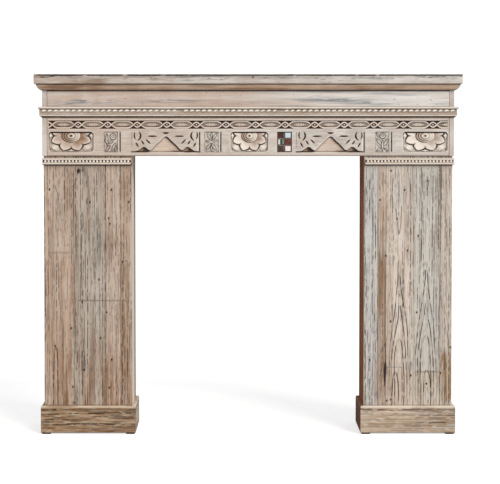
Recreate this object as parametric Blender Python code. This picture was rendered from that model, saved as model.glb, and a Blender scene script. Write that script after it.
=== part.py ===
"""Carved wooden fireplace surround, modelled at its real size.

Two box legs on plinths carry a header box. The header has a carved frieze board, a plain fascia, a beaded
bed moulding and a shelf on a quarter-round moulding. Metres, +Z up, the front towards -Y, the wall behind
at +Y. The origin is on the floor under the middle of the shelf.
"""

import math

import bmesh
import bpy
from mathutils import Vector
from mathutils.geometry import delaunay_2d_cdt

# The empty that every piece hangs from
WHOLE = "fireplace_surround"

# Clearance between pieces that touch
GAP = 0.0003
MITRE_EASE = GAP / math.sqrt(2)

# Overall
TOTAL_HEIGHT = 1.262
HEADER_WIDTH = 1.438
HEADER_DEPTH = 0.200
BOARD_EASE = 0.0008

# Shelf and the quarter-round moulding under it
SHELF_OVERHANG = 0.026
SHELF_THICKNESS = 0.034
SHELF_EASE = 0.003
SHELF_REVEAL = 0.006
SHELF_MOULDING_HEIGHT = 0.022
SHELF_MOULDING_ARC_STEPS = 7
SHELF_MOULDING_FLATNESS = 0.28

# Header boards
FASCIA_HEIGHT = 0.098
FRIEZE_HEIGHT = 0.153
FRONT_BOARD_THICKNESS = 0.024
END_BOARD_THICKNESS = 0.016
UNDERBOARD_THICKNESS = 0.012

# Bed moulding, which covers the joint between fascia and frieze
BED_LAP = 0.019
BED_PROJECTION = 0.013
BED_FOOT_HEIGHT = 0.005
BED_BAND_HEIGHT = 0.0125
BED_BEAD_BAND_HEIGHT = 0.0125
BED_LIP_HEIGHT = 0.008
BED_BEAD_PITCH = 0.0217
BED_BEAD_LENGTH = 0.0190
BED_BEAD_WIDTH = 0.0105
BED_BEAD_SLANT = 0.0030
BED_BEAD_RELIEF = 0.0034
MOULDING_DRAFT = 0.0008

# Legs
LEG_WIDTH = 0.308
LEG_SIDE_INSET = 0.004
LEG_SETBACK = 0.005
LEG_FRONT_THICKNESS = 0.018
LEG_SIDE_THICKNESS = 0.016

# Beaded strip at the top of each leg
CAPITAL_DROP = 0.0075
CAPITAL_PROJECTION = 0.0055
CAPITAL_LOWER_HEIGHT = 0.0080
CAPITAL_BEAD_BAND_HEIGHT = 0.0090
CAPITAL_UPPER_HEIGHT = 0.0060
CAPITAL_BEAD_PITCH = 0.0120
CAPITAL_BEAD_DIAMETER = 0.0080
CAPITAL_BEAD_RELIEF = 0.0020
CAPITAL_STOP = 0.0030

# Plinths and the pads under them
PLINTH_TOP = 0.099
PLINTH_THICKNESS = 0.012
PLINTH_EASE = 0.005
PLINTH_EASE_STEPS = 3
PAD_HEIGHT = 0.004
PAD_SIZE = 0.030
PAD_INSET = 0.004

# Frieze layout from the bottom up: rail, carved panels, rail, guilloche band, fillet
FRIEZE_BOTTOM_RAIL = 0.014
FRIEZE_MIDDLE_RAIL = 0.011
GUILLOCHE_HEIGHT = 0.028
FRIEZE_TOP_FILLET = 0.011
FRIEZE_END_MARGIN = 0.0055
CARVING_DRAFT = 0.0007

# Carved panels across the frieze
ROSETTE_PANEL_WIDTH = 0.158
MIDDLE_ROSETTE_WIDTH = 0.132
VALANCE_PANEL_WIDTH = 0.242
FLORAL_PANEL_WIDTH = 0.059
CHECKER_PANEL_WIDTH = 0.050
WIDE_STILE = 0.037
MIDDLE_STILE = 0.032
NARROW_STILE = 0.0155

# Depths of the carving
ROSETTE_DEPTH = 0.0070
VALANCE_DEPTH = 0.0050
SIDE_GROOVE_DEPTH = 0.0025
SIDE_GROOVE_WIDTH = 0.0070
STROKE_DEPTH = 0.0018
STROKE_WIDTH = 0.0038
FLORAL_DEPTH = 0.0020
CHECKER_DEPTH = 0.0035
GUILLOCHE_DEPTH = 0.0030
GUILLOCHE_PITCH = 0.104
GUILLOCHE_STRAND = 0.0040

# Places worked out from the sizes above
SHELF_WIDTH = HEADER_WIDTH + 2 * SHELF_OVERHANG
SHELF_DEPTH = HEADER_DEPTH + SHELF_OVERHANG
BACK_Y = SHELF_DEPTH / 2
HEADER_FRONT_Y = BACK_Y - HEADER_DEPTH
HEADER_HALF = HEADER_WIDTH / 2
SHELF_BOTTOM_Z = TOTAL_HEIGHT - SHELF_THICKNESS
FRIEZE_TOP_Z = SHELF_BOTTOM_Z - FASCIA_HEIGHT
HEADER_BOTTOM_Z = FRIEZE_TOP_Z - FRIEZE_HEIGHT
FRONT_BOARD_HALF = HEADER_HALF - END_BOARD_THICKNESS - GAP
LEG_OUTER_X = HEADER_HALF - LEG_SIDE_INSET
LEG_INNER_X = LEG_OUTER_X - LEG_WIDTH
LEG_FRONT_Y = HEADER_FRONT_Y + LEG_SETBACK
LEG_BOTTOM_Z = PAD_HEIGHT + GAP
LEG_TOP_Z = HEADER_BOTTOM_Z - GAP
BED_BOTTOM_Z = FRIEZE_TOP_Z - BED_LAP
GUILLOCHE_TOP_Z = BED_BOTTOM_Z - FRIEZE_TOP_FILLET
GUILLOCHE_BOTTOM_Z = GUILLOCHE_TOP_Z - GUILLOCHE_HEIGHT
PANEL_TOP_Z = GUILLOCHE_BOTTOM_Z - FRIEZE_MIDDLE_RAIL
PANEL_BOTTOM_Z = HEADER_BOTTOM_Z + FRIEZE_BOTTOM_RAIL
PANEL_HEIGHT = PANEL_TOP_Z - PANEL_BOTTOM_Z


def make_material(name, colour, roughness):
    """A plain painted or bare wood material."""
    material = bpy.data.materials.new(name)
    material.use_nodes = True
    shader = material.node_tree.nodes["Principled BSDF"]
    shader.inputs["Base Color"].default_value = (*colour, 1.0)
    shader.inputs["Roughness"].default_value = roughness
    shader.inputs["Metallic"].default_value = 0.0
    return material


def make_object(name, vertices, faces, material):
    """One closed piece from its vertices and faces, with the faces turned outwards."""
    mesh = bpy.data.meshes.new(name)
    mesh.from_pydata([tuple(vertex) for vertex in vertices], [], faces)
    shape = bmesh.new()
    shape.from_mesh(mesh)
    bmesh.ops.recalc_face_normals(shape, faces=shape.faces)
    shape.to_mesh(mesh)
    shape.free()
    return link_piece(name, mesh, material)


def link_piece(name, mesh, material, location=(0.0, 0.0, 0.0)):
    """Put a finished mesh into the scene as a piece of the surround."""
    mesh.materials.append(material)
    piece = bpy.data.objects.new(name, mesh)
    piece.location = location
    piece.parent = bpy.data.objects[WHOLE]
    bpy.context.collection.objects.link(piece)
    return piece


def make_board(name, low, high, material, ease=BOARD_EASE, segments=1, keep_back_square=False):
    """A board between two opposite corners, with its edges eased."""
    size = Vector(high) - Vector(low)
    shape = bmesh.new()
    bmesh.ops.create_cube(shape, size=1.0)
    bmesh.ops.scale(shape, vec=size, verts=shape.verts)
    edges = list(shape.edges)
    if keep_back_square:
        edges = [edge for edge in edges if min(vertex.co.y for vertex in edge.verts) < 0]
    if ease > 0:
        offset = min(ease, min(size) / 4)
        bmesh.ops.bevel(shape, geom=edges, offset=offset, segments=segments, affect="EDGES", profile=0.5)
    mesh = bpy.data.meshes.new(name)
    shape.to_mesh(mesh)
    shape.free()
    return link_piece(name, mesh, material, (Vector(low) + Vector(high)) / 2)


class Run:
    """A straight run of moulding: where its back plane stands, which way it projects, and how it ends.

    A point of it has a place along the run, a projection out from the back plane, and a height.
    """

    def __init__(self, start, end, start_mitred, end_mitred, place):
        self.start = start
        self.end = end
        self.start_mitred = start_mitred
        self.end_mitred = end_mitred
        self.place = place

    def start_at(self, projection):
        """Where the run begins at this projection; a mitre leans outwards."""
        if self.start_mitred:
            return self.start - projection + MITRE_EASE
        return self.start

    def end_at(self, projection):
        """Where the run ends at this projection."""
        if self.end_mitred:
            return self.end + projection - MITRE_EASE
        return self.end


def front_run(start_x, end_x, back_y, start_mitred=True, end_mitred=True):
    """A run along the front, projecting towards -Y from the plane at back_y."""
    def place(along, out, z):
        return Vector((along, back_y - out, z))

    return Run(start_x, end_x, start_mitred, end_mitred, place)


def side_run(back_x, outward, front_y, back_y):
    """A run along a side, projecting towards +X or -X, mitred at the front and square at the back."""
    def place(along, out, z):
        return Vector((back_x + outward * out, along, z))

    return Run(front_y, back_y, True, False, place)


def make_moulding(name, profile, run, base_z, material):
    """A plain moulding: a closed profile of (projection, height) points swept along a run."""
    vertices = []
    for along_at in (run.start_at, run.end_at):
        vertices += [run.place(along_at(out), out, base_z + height) for out, height in profile]
    count = len(profile)
    faces = [tuple(range(count)), tuple(range(2 * count - 1, count - 1, -1))]
    for index in range(count):
        following = (index + 1) % count
        faces.append((index, following, count + following, count + index))
    return make_object(name, vertices, faces, material)


class CarvedFace:
    """A carved face seen square on: outlines at their own heights, with triangles between them."""

    def __init__(self):
        self.points = []
        self.heights = []
        self.edges = []

    def point(self, place, height):
        """A single high or low point."""
        self.points.append(Vector(place))
        self.heights.append(height)

    def line(self, places, height, closed=False):
        """A line of points at one height, or at a height each."""
        first = len(self.points)
        count = len(places)
        heights = list(height) if isinstance(height, (list, tuple)) else [height] * count
        self.points += [Vector(place) for place in places]
        self.heights += heights
        self.edges += [(first + index, first + index + 1) for index in range(count - 1)]
        if closed:
            self.edges.append((first + count - 1, first))

    def loop(self, places, height):
        """A closed outline at one height."""
        self.line(places, height, closed=True)

    def pocket(self, outline, floor, rim=0.0, draft=CARVING_DRAFT):
        """A sunk or raised field: its outline at the rim's height, and again, inset, at its floor."""
        self.loop(outline, rim)
        inner = inset_outline(outline, draft)
        self.loop(inner, floor)
        return inner

    def height_of(self, sources, place):
        """The height of a point: its own, or that of the nearest drawn point where two lines cross."""
        if sources:
            return self.heights[sources[0]]
        nearest = min(range(len(self.points)), key=lambda index: (self.points[index] - place).length_squared)
        return self.heights[nearest]

    def make_solid(self, name, place, back_of, material):
        """Close the face into a solid, with straight sides down to a flat back."""
        places, _, triangles, sources, _, _ = delaunay_2d_cdt(self.points, self.edges, [], 1, 1e-7)
        heights = [self.height_of(source, spot) for source, spot in zip(sources, places)]
        rim = outer_loop(triangles)
        backs = [back_of(places[index].x, places[index].y) for index in rim]
        back_triangles = delaunay_2d_cdt(
            [Vector(back[:2]) for back in backs], [], [list(range(len(rim)))], 1, 1e-7
        )[2]
        vertices = [place(spot.x, height, spot.y) for spot, height in zip(places, heights)]
        first_back = len(vertices)
        vertices += [place(back[0], back[2], back[1]) for back in backs]
        faces = [tuple(triangle) for triangle in triangles]
        faces += [tuple(first_back + corner for corner in reversed(triangle)) for triangle in back_triangles]
        for index, corner in enumerate(rim):
            following = (index + 1) % len(rim)
            faces.append((rim[following], corner, first_back + index, first_back + following))
        return make_object(name, vertices, faces, material)


def outer_loop(triangles):
    """The ordered outer edge of a triangulated face."""
    directed = {(face[i], face[(i + 1) % len(face)]) for face in triangles for i in range(len(face))}
    following = {start: end for start, end in directed if (end, start) not in directed}
    first = min(following)
    loop = [first]
    while following[loop[-1]] != first:
        loop.append(following[loop[-1]])
    return loop


def signed_area(outline):
    """Twice the area of an outline, positive when it runs anticlockwise."""
    total = 0.0
    for index, (x, z) in enumerate(outline):
        next_x, next_z = outline[(index + 1) % len(outline)]
        total += x * next_z - next_x * z
    return total


def inset_outline(outline, distance):
    """The outline moved inwards by a distance, along the bisector at each corner."""
    if signed_area(outline) < 0:
        outline = outline[::-1]
    result = []
    count = len(outline)
    for index in range(count):
        before = Vector(outline[index]) - Vector(outline[index - 1])
        after = Vector(outline[(index + 1) % count]) - Vector(outline[index])
        first = Vector((-before.y, before.x)).normalized()
        second = Vector((-after.y, after.x)).normalized()
        bisector = (first + second).normalized()
        stretch = min(1 / max(bisector.dot(first), 0.35), 2.5)
        spot = Vector(outline[index]) + bisector * distance * stretch
        result.append((spot.x, spot.y))
    return result


def clip_outline(outline, axis, limit, keep_below):
    """The part of an outline on one side of a line where x (axis 0) or z (axis 1) equals the limit."""
    sign = 1 if keep_below else -1
    result = []
    for index, current in enumerate(outline):
        previous = outline[index - 1]
        inside = sign * (current[axis] - limit) <= 0
        was_inside = sign * (previous[axis] - limit) <= 0
        if inside != was_inside:
            share = (limit - previous[axis]) / (current[axis] - previous[axis])
            crossing = [start + share * (end - start) for start, end in zip(previous, current)]
            crossing[axis] = limit
            result.append(tuple(crossing))
        if inside:
            result.append(tuple(current))
    return result


def ellipse(centre, radius_x, radius_z, steps):
    """Points around an ellipse."""
    return [polar(centre, radius_x, radius_z, 2 * math.pi * step / steps) for step in range(steps)]


def polar(centre, radius_x, radius_z, angle, scale=1.0):
    """A point in a direction from a centre, on an ellipse of this size."""
    return (centre[0] + radius_x * scale * math.cos(angle), centre[1] + radius_z * scale * math.sin(angle))


def upright_box(left, right, bottom, top):
    """The corners of an upright rectangle."""
    return [(left, bottom), (right, bottom), (right, top), (left, top)]


def rounded_box(left, right, bottom, top, radius, steps=3):
    """An upright rectangle with its lower corners rounded and its upper corners a little eased."""
    radius = min(radius, (right - left) / 3, (top - bottom) / 3)
    small = radius / 3
    corners = [
        (left + radius, bottom + radius, radius, math.pi),
        (right - radius, bottom + radius, radius, 1.5 * math.pi),
        (right - small, top - small, small, 0.0),
        (left + small, top - small, small, 0.5 * math.pi),
    ]
    outline = []
    for x, z, size, first in corners:
        for step in range(steps + 1):
            angle = first + 0.5 * math.pi * step / steps
            outline.append((x + size * math.cos(angle), z + size * math.sin(angle)))
    return outline


def carve_leaf(face, base, tip, width, low, high):
    """A pointed leaf with a ridge down its middle."""
    base = Vector(base)
    tip = Vector(tip)
    along = tip - base
    across = Vector((-along.y, along.x)).normalized() * width / 2
    outline = [base, base + along * 0.35 - across, base + along * 0.7 - across * 0.75]
    outline += [tip, base + along * 0.7 + across * 0.75, base + along * 0.35 + across]
    face.loop([tuple(spot) for spot in outline], low)
    face.line([tuple(base + along * 0.18), tuple(base + along * 0.8)], high)


def cut_stroke(face, start, end, width=STROKE_WIDTH, depth=STROKE_DEPTH, bulge=0.0):
    """A knife-cut stroke, widest in the middle, that can bulge to one side."""
    start = Vector(start)
    end = Vector(end)
    along = end - start
    side = Vector((-along.y, along.x)).normalized()
    middle = start + along / 2 + side * bulge
    outline = [start, middle - side * width / 2, end, middle + side * width / 2]
    face.loop([tuple(spot) for spot in outline], 0.0)
    inner_start = start + (middle - start) * 0.35
    inner_end = end + (middle - end) * 0.35
    face.line([tuple(inner_start), tuple(middle), tuple(inner_end)], -depth)


def carve_side_groove(face, right, bottom, top, depth=SIDE_GROOVE_DEPTH, width=SIDE_GROOVE_WIDTH):
    """A groove down the right side of a panel: a long slope from the left and a steep wall at the right."""
    face.loop(upright_box(right - width, right, bottom, top), 0.0)
    steep = right - width * 0.2
    face.line([(steep, bottom + width * 0.2), (steep, top - width * 0.2)], -depth)


def flower_outline(centre, radius_x, radius_z, scale=1.0, lobe_steps=4):
    """Eight rounded lobes with a notch between each two; the notches lie on the axes and diagonals."""
    lobes = 8
    notch = 0.85
    outline = []
    for step in range(lobes * lobe_steps):
        angle = 2 * math.pi * step / (lobes * lobe_steps)
        rise = abs(math.sin(lobes / 2 * angle)) ** 0.6
        outline.append(polar(centre, radius_x, radius_z, angle, scale * (notch + (1 - notch) * rise)))
    return outline


def carve_rosette(face, left, right):
    """A lobed flower in a sunk field, cut off above by the field's straight top edge."""
    half = (right - left) / 2
    corner = PANEL_HEIGHT * 0.17
    field = rounded_box(left, right, PANEL_BOTTOM_Z, PANEL_TOP_Z, corner)
    face.pocket(field, -ROSETTE_DEPTH)
    centre = ((left + right) / 2, PANEL_TOP_Z - PANEL_HEIGHT * 0.20)
    radius_x = half * 0.90
    radius_z = PANEL_HEIGHT * 0.755
    cut_z = PANEL_TOP_Z - PANEL_HEIGHT * 0.045

    def below_cut(outline):
        return clip_outline(outline, 1, cut_z, True)

    face.loop(below_cut(flower_outline(centre, radius_x, radius_z)), -ROSETTE_DEPTH)
    face.loop(below_cut(flower_outline(centre, radius_x, radius_z, 0.975)), -ROSETTE_DEPTH * 0.20)
    face.loop(below_cut(flower_outline(centre, radius_x, radius_z, 0.90)), -ROSETTE_DEPTH * 0.25)
    face.loop(below_cut(ellipse(centre, radius_x * 0.56, radius_z * 0.52, 16)), -ROSETTE_DEPTH * 0.65)
    boss_x = half * 0.42
    boss_z = PANEL_HEIGHT * 0.325
    rings = ((1.0, 0.65), (0.93, 0.25), (0.76, 0.42), (0.69, 0.14), (0.50, 0.28), (0.42, 0.0), (0.15, 0.12))
    for scale, sink in rings:
        face.loop(below_cut(ellipse(centre, boss_x * scale, boss_z * scale, 14)), -ROSETTE_DEPTH * sink)
    for degrees, reach in ((180, 1.06), (225, 1.26), (270, 1.02), (315, 1.26), (360, 1.06)):
        carve_back_petal(face, centre, radius_x, radius_z, math.radians(degrees), reach)


def carve_back_petal(face, centre, radius_x, radius_z, angle, reach):
    """The tip of a petal of the flower's second layer, showing in a notch between two lobes."""
    def spot(turn, scale):
        return polar(centre, radius_x, radius_z, angle + math.radians(turn), scale)

    left_edge = [spot(9, 0.99), spot(7, reach - 0.03)]
    right_edge = [spot(-7, reach - 0.03), spot(-9, 0.99)]
    face.loop([spot(0, 0.875)] + left_edge + [spot(0, reach)] + right_edge, -ROSETTE_DEPTH * 0.75)
    face.line([spot(0, 0.93), spot(0, reach - 0.04)], -ROSETTE_DEPTH * 0.35)


def carve_valance(face, left, right):
    """A cusped valance over a sunk peaked field, with knife-cut strokes on it."""
    middle = (left + right) / 2
    half = (right - left) / 2
    rise = PANEL_HEIGHT
    side_peak = ((0.985, 0.0), (0.81, 0.055), (0.62, 0.235), (0.475, 0.07))
    main_slope = ((0.41, 0.115), (0.155, 0.555), (0.05, 0.725))
    profile = side_peak + main_slope

    def spot(across, up):
        return (middle + half * across, PANEL_BOTTOM_Z + rise * up)

    outline = [spot(across, up) for across, up in profile] + [spot(0, 0.77)]
    outline += [spot(-across, up) for across, up in reversed(profile)]
    face.pocket(outline, -VALANCE_DEPTH)
    low_end = PANEL_BOTTOM_Z + rise * 0.06
    carve_side_groove(face, right, low_end, PANEL_TOP_Z)
    cut_stroke(face, spot(-0.08, 0.955), spot(0.08, 0.955), bulge=-rise * 0.02)
    strokes = (
        ((0.26, 0.785), (0.50, 0.785), 0.0),
        ((0.80, 0.97), (0.84, 0.56), 0.05),
        ((0.575, 0.58), (0.455, 0.42), 0.0),
        ((0.71, 0.525), (0.635, 0.385), 0.0),
        ((0.87, 0.42), (0.80, 0.27), 0.0),
    )
    for start, end, bulge in strokes:
        for side in (-1, 1):
            cut_stroke(
                face, spot(side * start[0], start[1]), spot(side * end[0], end[1]), bulge=-side * bulge * rise
            )


def carve_floral(face, left, right, design):
    """A small panel with a shallow sunk ground and raised leaves and a flower on it."""
    middle = (left + right) / 2
    half = (right - left) / 2
    groove = SIDE_GROOVE_WIDTH
    face.pocket(upright_box(left, right - groove * 1.5, PANEL_BOTTOM_Z, PANEL_TOP_Z), -FLORAL_DEPTH)
    carve_side_groove(face, right, PANEL_BOTTOM_Z, PANEL_TOP_Z)

    def spot(across, up):
        return (middle - groove * 0.75 + (half - groove * 0.75) * across, PANEL_BOTTOM_Z + PANEL_HEIGHT * up)

    flower, leaves = design
    if flower:
        centre = spot(flower[0], flower[1])
        size = flower[2] * PANEL_HEIGHT
        for scale, sink in ((1.0, 1.0), (0.8, 0.15), (0.5, 0.5), (0.25, 0.1)):
            face.loop(ellipse(centre, size * scale, size * scale, 8), -FLORAL_DEPTH * sink)
    for base, tip, width in leaves:
        carve_leaf(face, spot(*base), spot(*tip), width * PANEL_HEIGHT, -FLORAL_DEPTH, 0.0)


def carve_checker(face, left, right):
    """Three rows of raised and sunk squares; the middle row is set over by half a square."""
    face.pocket(upright_box(left, right, PANEL_BOTTOM_Z, PANEL_TOP_Z), -CHECKER_DEPTH)
    square = (right - left) / 2
    row_height = PANEL_HEIGHT / 3
    joint = square * 0.07
    for row, starts in enumerate(((1.0,), (0.0, 0.55), (1.0,))):
        low = PANEL_BOTTOM_Z + row * row_height
        for start in starts:
            width = square if row != 1 else square * 0.5
            tile_left = left + start * square + joint
            tile_right = tile_left + width - 2 * joint
            tile = upright_box(tile_left, tile_right, low + joint, low + row_height - joint)
            face.pocket(tile, -CHECKER_DEPTH * 0.15, rim=-CHECKER_DEPTH)


def carve_guilloche(face, left, right):
    """Two interlaced strands: long pointed ovals with a leaf in each, and small diamonds between them."""
    middle = (GUILLOCHE_BOTTOM_Z + GUILLOCHE_TOP_Z) / 2
    half_height = GUILLOCHE_HEIGHT / 2
    count = max(1, round((right - left) / GUILLOCHE_PITCH - 0.5))
    pitch = (right - left) / (count + 0.5)
    diamond = half_height * 0.80
    strand = GUILLOCHE_STRAND
    oval_half = pitch / 2 - diamond - strand
    oval_rise = half_height - strand
    edge = strand * 0.25

    def add(outline, floor, draft=CARVING_DRAFT):
        shown = clip_outline(clip_outline(outline, 0, left + edge, False), 0, right - edge, True)
        if len(shown) > 2:
            return face.pocket(shown, floor, draft=draft)
        return None

    for index in range(count + 1):
        centre = left + index * pitch
        reach = diamond - strand * 0.9
        add(ellipse((centre, middle), reach, reach, 4), -GUILLOCHE_DEPTH)
        if index > 0:
            face.loop(ellipse((centre, middle), reach * 0.5, reach * 0.5, 4), -GUILLOCHE_DEPTH)
            face.loop(ellipse((centre, middle), reach * 0.3, reach * 0.3, 4), -GUILLOCHE_DEPTH * 0.1)
        for side in (-1, 1):
            for level in (-1, 1):
                carve_corner_pocket(add, centre, side, middle, level, half_height, diamond, strand)
        oval = centre + pitch / 2
        carve_oval(face, add, oval, middle, oval_half, oval_rise, right - edge)


def carve_corner_pocket(add, centre, side, middle, level, half_height, diamond, strand):
    """The three-cornered ground above or below the crossing of two strands."""
    near = centre + side * strand * 0.7
    far = centre + side * (diamond * 2.0 + strand * 1.3)
    point_x = centre + side * (diamond + strand * 0.1)
    top = middle + level * (half_height - 0.0004)
    point_z = middle + level * (half_height - diamond * 0.62)
    add([(near, top), (point_x, point_z), (far, top)], -GUILLOCHE_DEPTH * 1.2, CARVING_DRAFT * 0.7)


def carve_oval(face, add, centre, middle, half_length, rise, limit):
    """A long pointed oval, sunk, with a raised pointed leaf along its middle."""
    steps = 6

    def lens(length, height):
        shares = [-1 + 2 * step / steps for step in range(steps)]
        lower = [(centre + length * share, middle - height * (1 - share * share)) for share in shares]
        upper = [(centre - length * share, middle + height * (1 - share * share)) for share in shares]
        return lower + upper

    add(lens(half_length, rise), -GUILLOCHE_DEPTH)
    leaf = clip_outline(lens(half_length * 0.66, rise * 0.58), 0, limit - 0.0015, True)
    if len(leaf) > 2:
        face.loop(leaf, -GUILLOCHE_DEPTH)
        ridge_end = min(centre + half_length * 0.5, limit - 0.0030)
        face.line([(centre - half_length * 0.5, middle), (ridge_end, middle)], -GUILLOCHE_DEPTH * 0.2)


FLORAL_DESIGNS = {
    "ring_flower": (
        (0.30, 0.76, 0.15),
        (((-0.55, 0.30), (-0.60, 0.90), 0.12), ((-0.30, 0.42), (0.25, 0.55), 0.12),
         ((0.62, 0.44), (0.15, 0.08), 0.13), ((-0.75, 0.06), (-0.15, 0.32), 0.11)),
    ),
    "crossed_leaves": (
        None,
        (((0.10, 0.62), (0.72, 0.93), 0.12), ((0.10, 0.55), (-0.62, 0.90), 0.13),
         ((-0.05, 0.42), (0.62, 0.12), 0.13), ((-0.12, 0.44), (-0.70, 0.10), 0.13)),
    ),
    "tulip": (
        (0.05, 0.80, 0.13),
        (((0.05, 0.58), (0.02, 0.08), 0.11), ((0.22, 0.30), (0.78, 0.62), 0.13),
         ((-0.15, 0.34), (-0.72, 0.66), 0.13), ((-0.20, 0.22), (-0.78, 0.08), 0.10)),
    ),
}


def carve_panel(face, kind, left, right):
    """One carved panel of the frieze."""
    if kind == "rosette":
        carve_rosette(face, left, right)
    elif kind == "valance":
        carve_valance(face, left, right)
    elif kind == "checker":
        carve_checker(face, left, right)
    else:
        carve_floral(face, left, right, FLORAL_DESIGNS[kind])


def frieze_panels():
    """The carved panels from left to right with their ends, stretched so that the row fills the board."""
    row = [
        ("rosette", ROSETTE_PANEL_WIDTH), (None, WIDE_STILE),
        ("ring_flower", FLORAL_PANEL_WIDTH), (None, WIDE_STILE),
        ("valance", VALANCE_PANEL_WIDTH), (None, NARROW_STILE),
        ("crossed_leaves", FLORAL_PANEL_WIDTH), (None, MIDDLE_STILE),
        ("rosette", MIDDLE_ROSETTE_WIDTH), (None, MIDDLE_STILE),
        ("checker", CHECKER_PANEL_WIDTH), (None, NARROW_STILE),
        ("valance", VALANCE_PANEL_WIDTH), (None, WIDE_STILE),
        ("tulip", FLORAL_PANEL_WIDTH), (None, WIDE_STILE),
        ("rosette", ROSETTE_PANEL_WIDTH),
    ]
    half = FRONT_BOARD_HALF - FRIEZE_END_MARGIN
    stretch = 2 * half / sum(width for _, width in row)
    panels = []
    left = -half
    for kind, width in row:
        right = left + width * stretch
        if kind:
            panels.append((kind, left, right))
        left = right
    return panels


def make_frieze(material):
    """The carved lower front board of the header."""
    face = CarvedFace()
    half = FRONT_BOARD_HALF
    top = FRIEZE_TOP_Z - GAP
    face.loop(upright_box(-half, half, HEADER_BOTTOM_Z, top), 0.0)
    carve_guilloche(face, -half + FRIEZE_END_MARGIN, half - FRIEZE_END_MARGIN)
    for kind, left, right in frieze_panels():
        carve_panel(face, kind, left, right)
    return face.make_solid(
        "carved_frieze",
        lambda x, height, z: Vector((x, HEADER_FRONT_Y - height, z)),
        lambda x, z: (x, z, -FRONT_BOARD_THICKNESS),
        material,
    )


def bed_rows():
    """The bed moulding's profile from the bottom up, as (height, projection), and the bead band's place."""
    out = BED_PROJECTION
    band = BED_FOOT_HEIGHT
    beads = band + BED_BAND_HEIGHT
    lip = beads + BED_BEAD_BAND_HEIGHT
    top = lip + BED_LIP_HEIGHT
    step = MOULDING_DRAFT
    rows = [
        (0.0, out * 0.08), (band - step, out * 0.36), (band, out * 0.52), (beads - step, out * 0.70),
        (beads, out * 0.62), (lip - step, out * 0.62), (lip, out * 0.97), (top, out),
    ]
    return rows, (beads + lip - step) / 2, out * 0.62


def capital_rows():
    """The profile of the strip at the top of a leg, and its bead band's place."""
    out = CAPITAL_PROJECTION
    beads = CAPITAL_LOWER_HEIGHT
    upper = beads + CAPITAL_BEAD_BAND_HEIGHT
    top = upper + CAPITAL_UPPER_HEIGHT
    step = MOULDING_DRAFT
    rows = [
        (0.0, out * 0.15), (step, out * 0.80), (beads - step, out), (beads, out * 0.55),
        (upper - step, out * 0.55), (upper, out), (top, out),
    ]
    return rows, (beads + upper - step) / 2, out * 0.55


def make_beaded_moulding(name, rows_and_band, bead, run, base_z, material):
    """A moulding with straight rows and a band of raised beads."""
    rows, band_height, ground = rows_and_band
    length, width, slant, relief, pitch = bead
    face = CarvedFace()
    left_side = [(run.start_at(out), base_z + height) for height, out in rows]
    right_side = [(run.end_at(out), base_z + height) for height, out in rows]
    outs = [out for _, out in rows]
    face.line(right_side + left_side[::-1], outs + outs[::-1], closed=True)
    for index in range(1, len(rows) - 1):
        face.line([left_side[index], right_side[index]], outs[index])
    first = run.start_at(ground) + pitch * 0.25
    last = run.end_at(ground) - pitch * 0.25
    count = max(1, round((last - first) / pitch))
    spacing = (last - first) / count
    shrink = min(1.0, spacing * 0.92 / length)
    middle = base_z + band_height
    for index in range(count):
        centre = (first + (index + 0.5) * spacing, middle)
        upright = ellipse(centre, length * shrink / 2, width / 2, 6)
        face.loop([(along + slant * (z - middle) / (width / 2), z) for along, z in upright], ground)
        face.point(centre, ground + relief)
    low = run.start_at(0.0)
    high = run.end_at(0.0)
    return face.make_solid(name, run.place, lambda along, z: (min(max(along, low), high), z, 0.0), material)


def make_shelf(material):
    """The thick top board, its front and side edges eased, its back flush with the wall."""
    make_board(
        "mantel_shelf",
        (-SHELF_WIDTH / 2, -SHELF_DEPTH / 2, SHELF_BOTTOM_Z),
        (SHELF_WIDTH / 2, BACK_Y, TOTAL_HEIGHT),
        material, ease=SHELF_EASE, segments=2, keep_back_square=True,
    )


def quarter_round_profile():
    """A quarter-round that bulges outwards, a little flattened towards a plain slope."""
    radius_out = SHELF_OVERHANG - SHELF_REVEAL
    height = SHELF_MOULDING_HEIGHT - GAP
    profile = [(0.0, 0.0)]
    for step in range(1, SHELF_MOULDING_ARC_STEPS + 1):
        angle = 0.5 * math.pi * (1 - step / SHELF_MOULDING_ARC_STEPS)
        level = 1 - math.sin(angle)
        share = math.cos(angle) * (1 - SHELF_MOULDING_FLATNESS) + level * SHELF_MOULDING_FLATNESS
        profile.append((radius_out * share, height * level))
    profile.append((0.0, height))
    return profile


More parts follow.
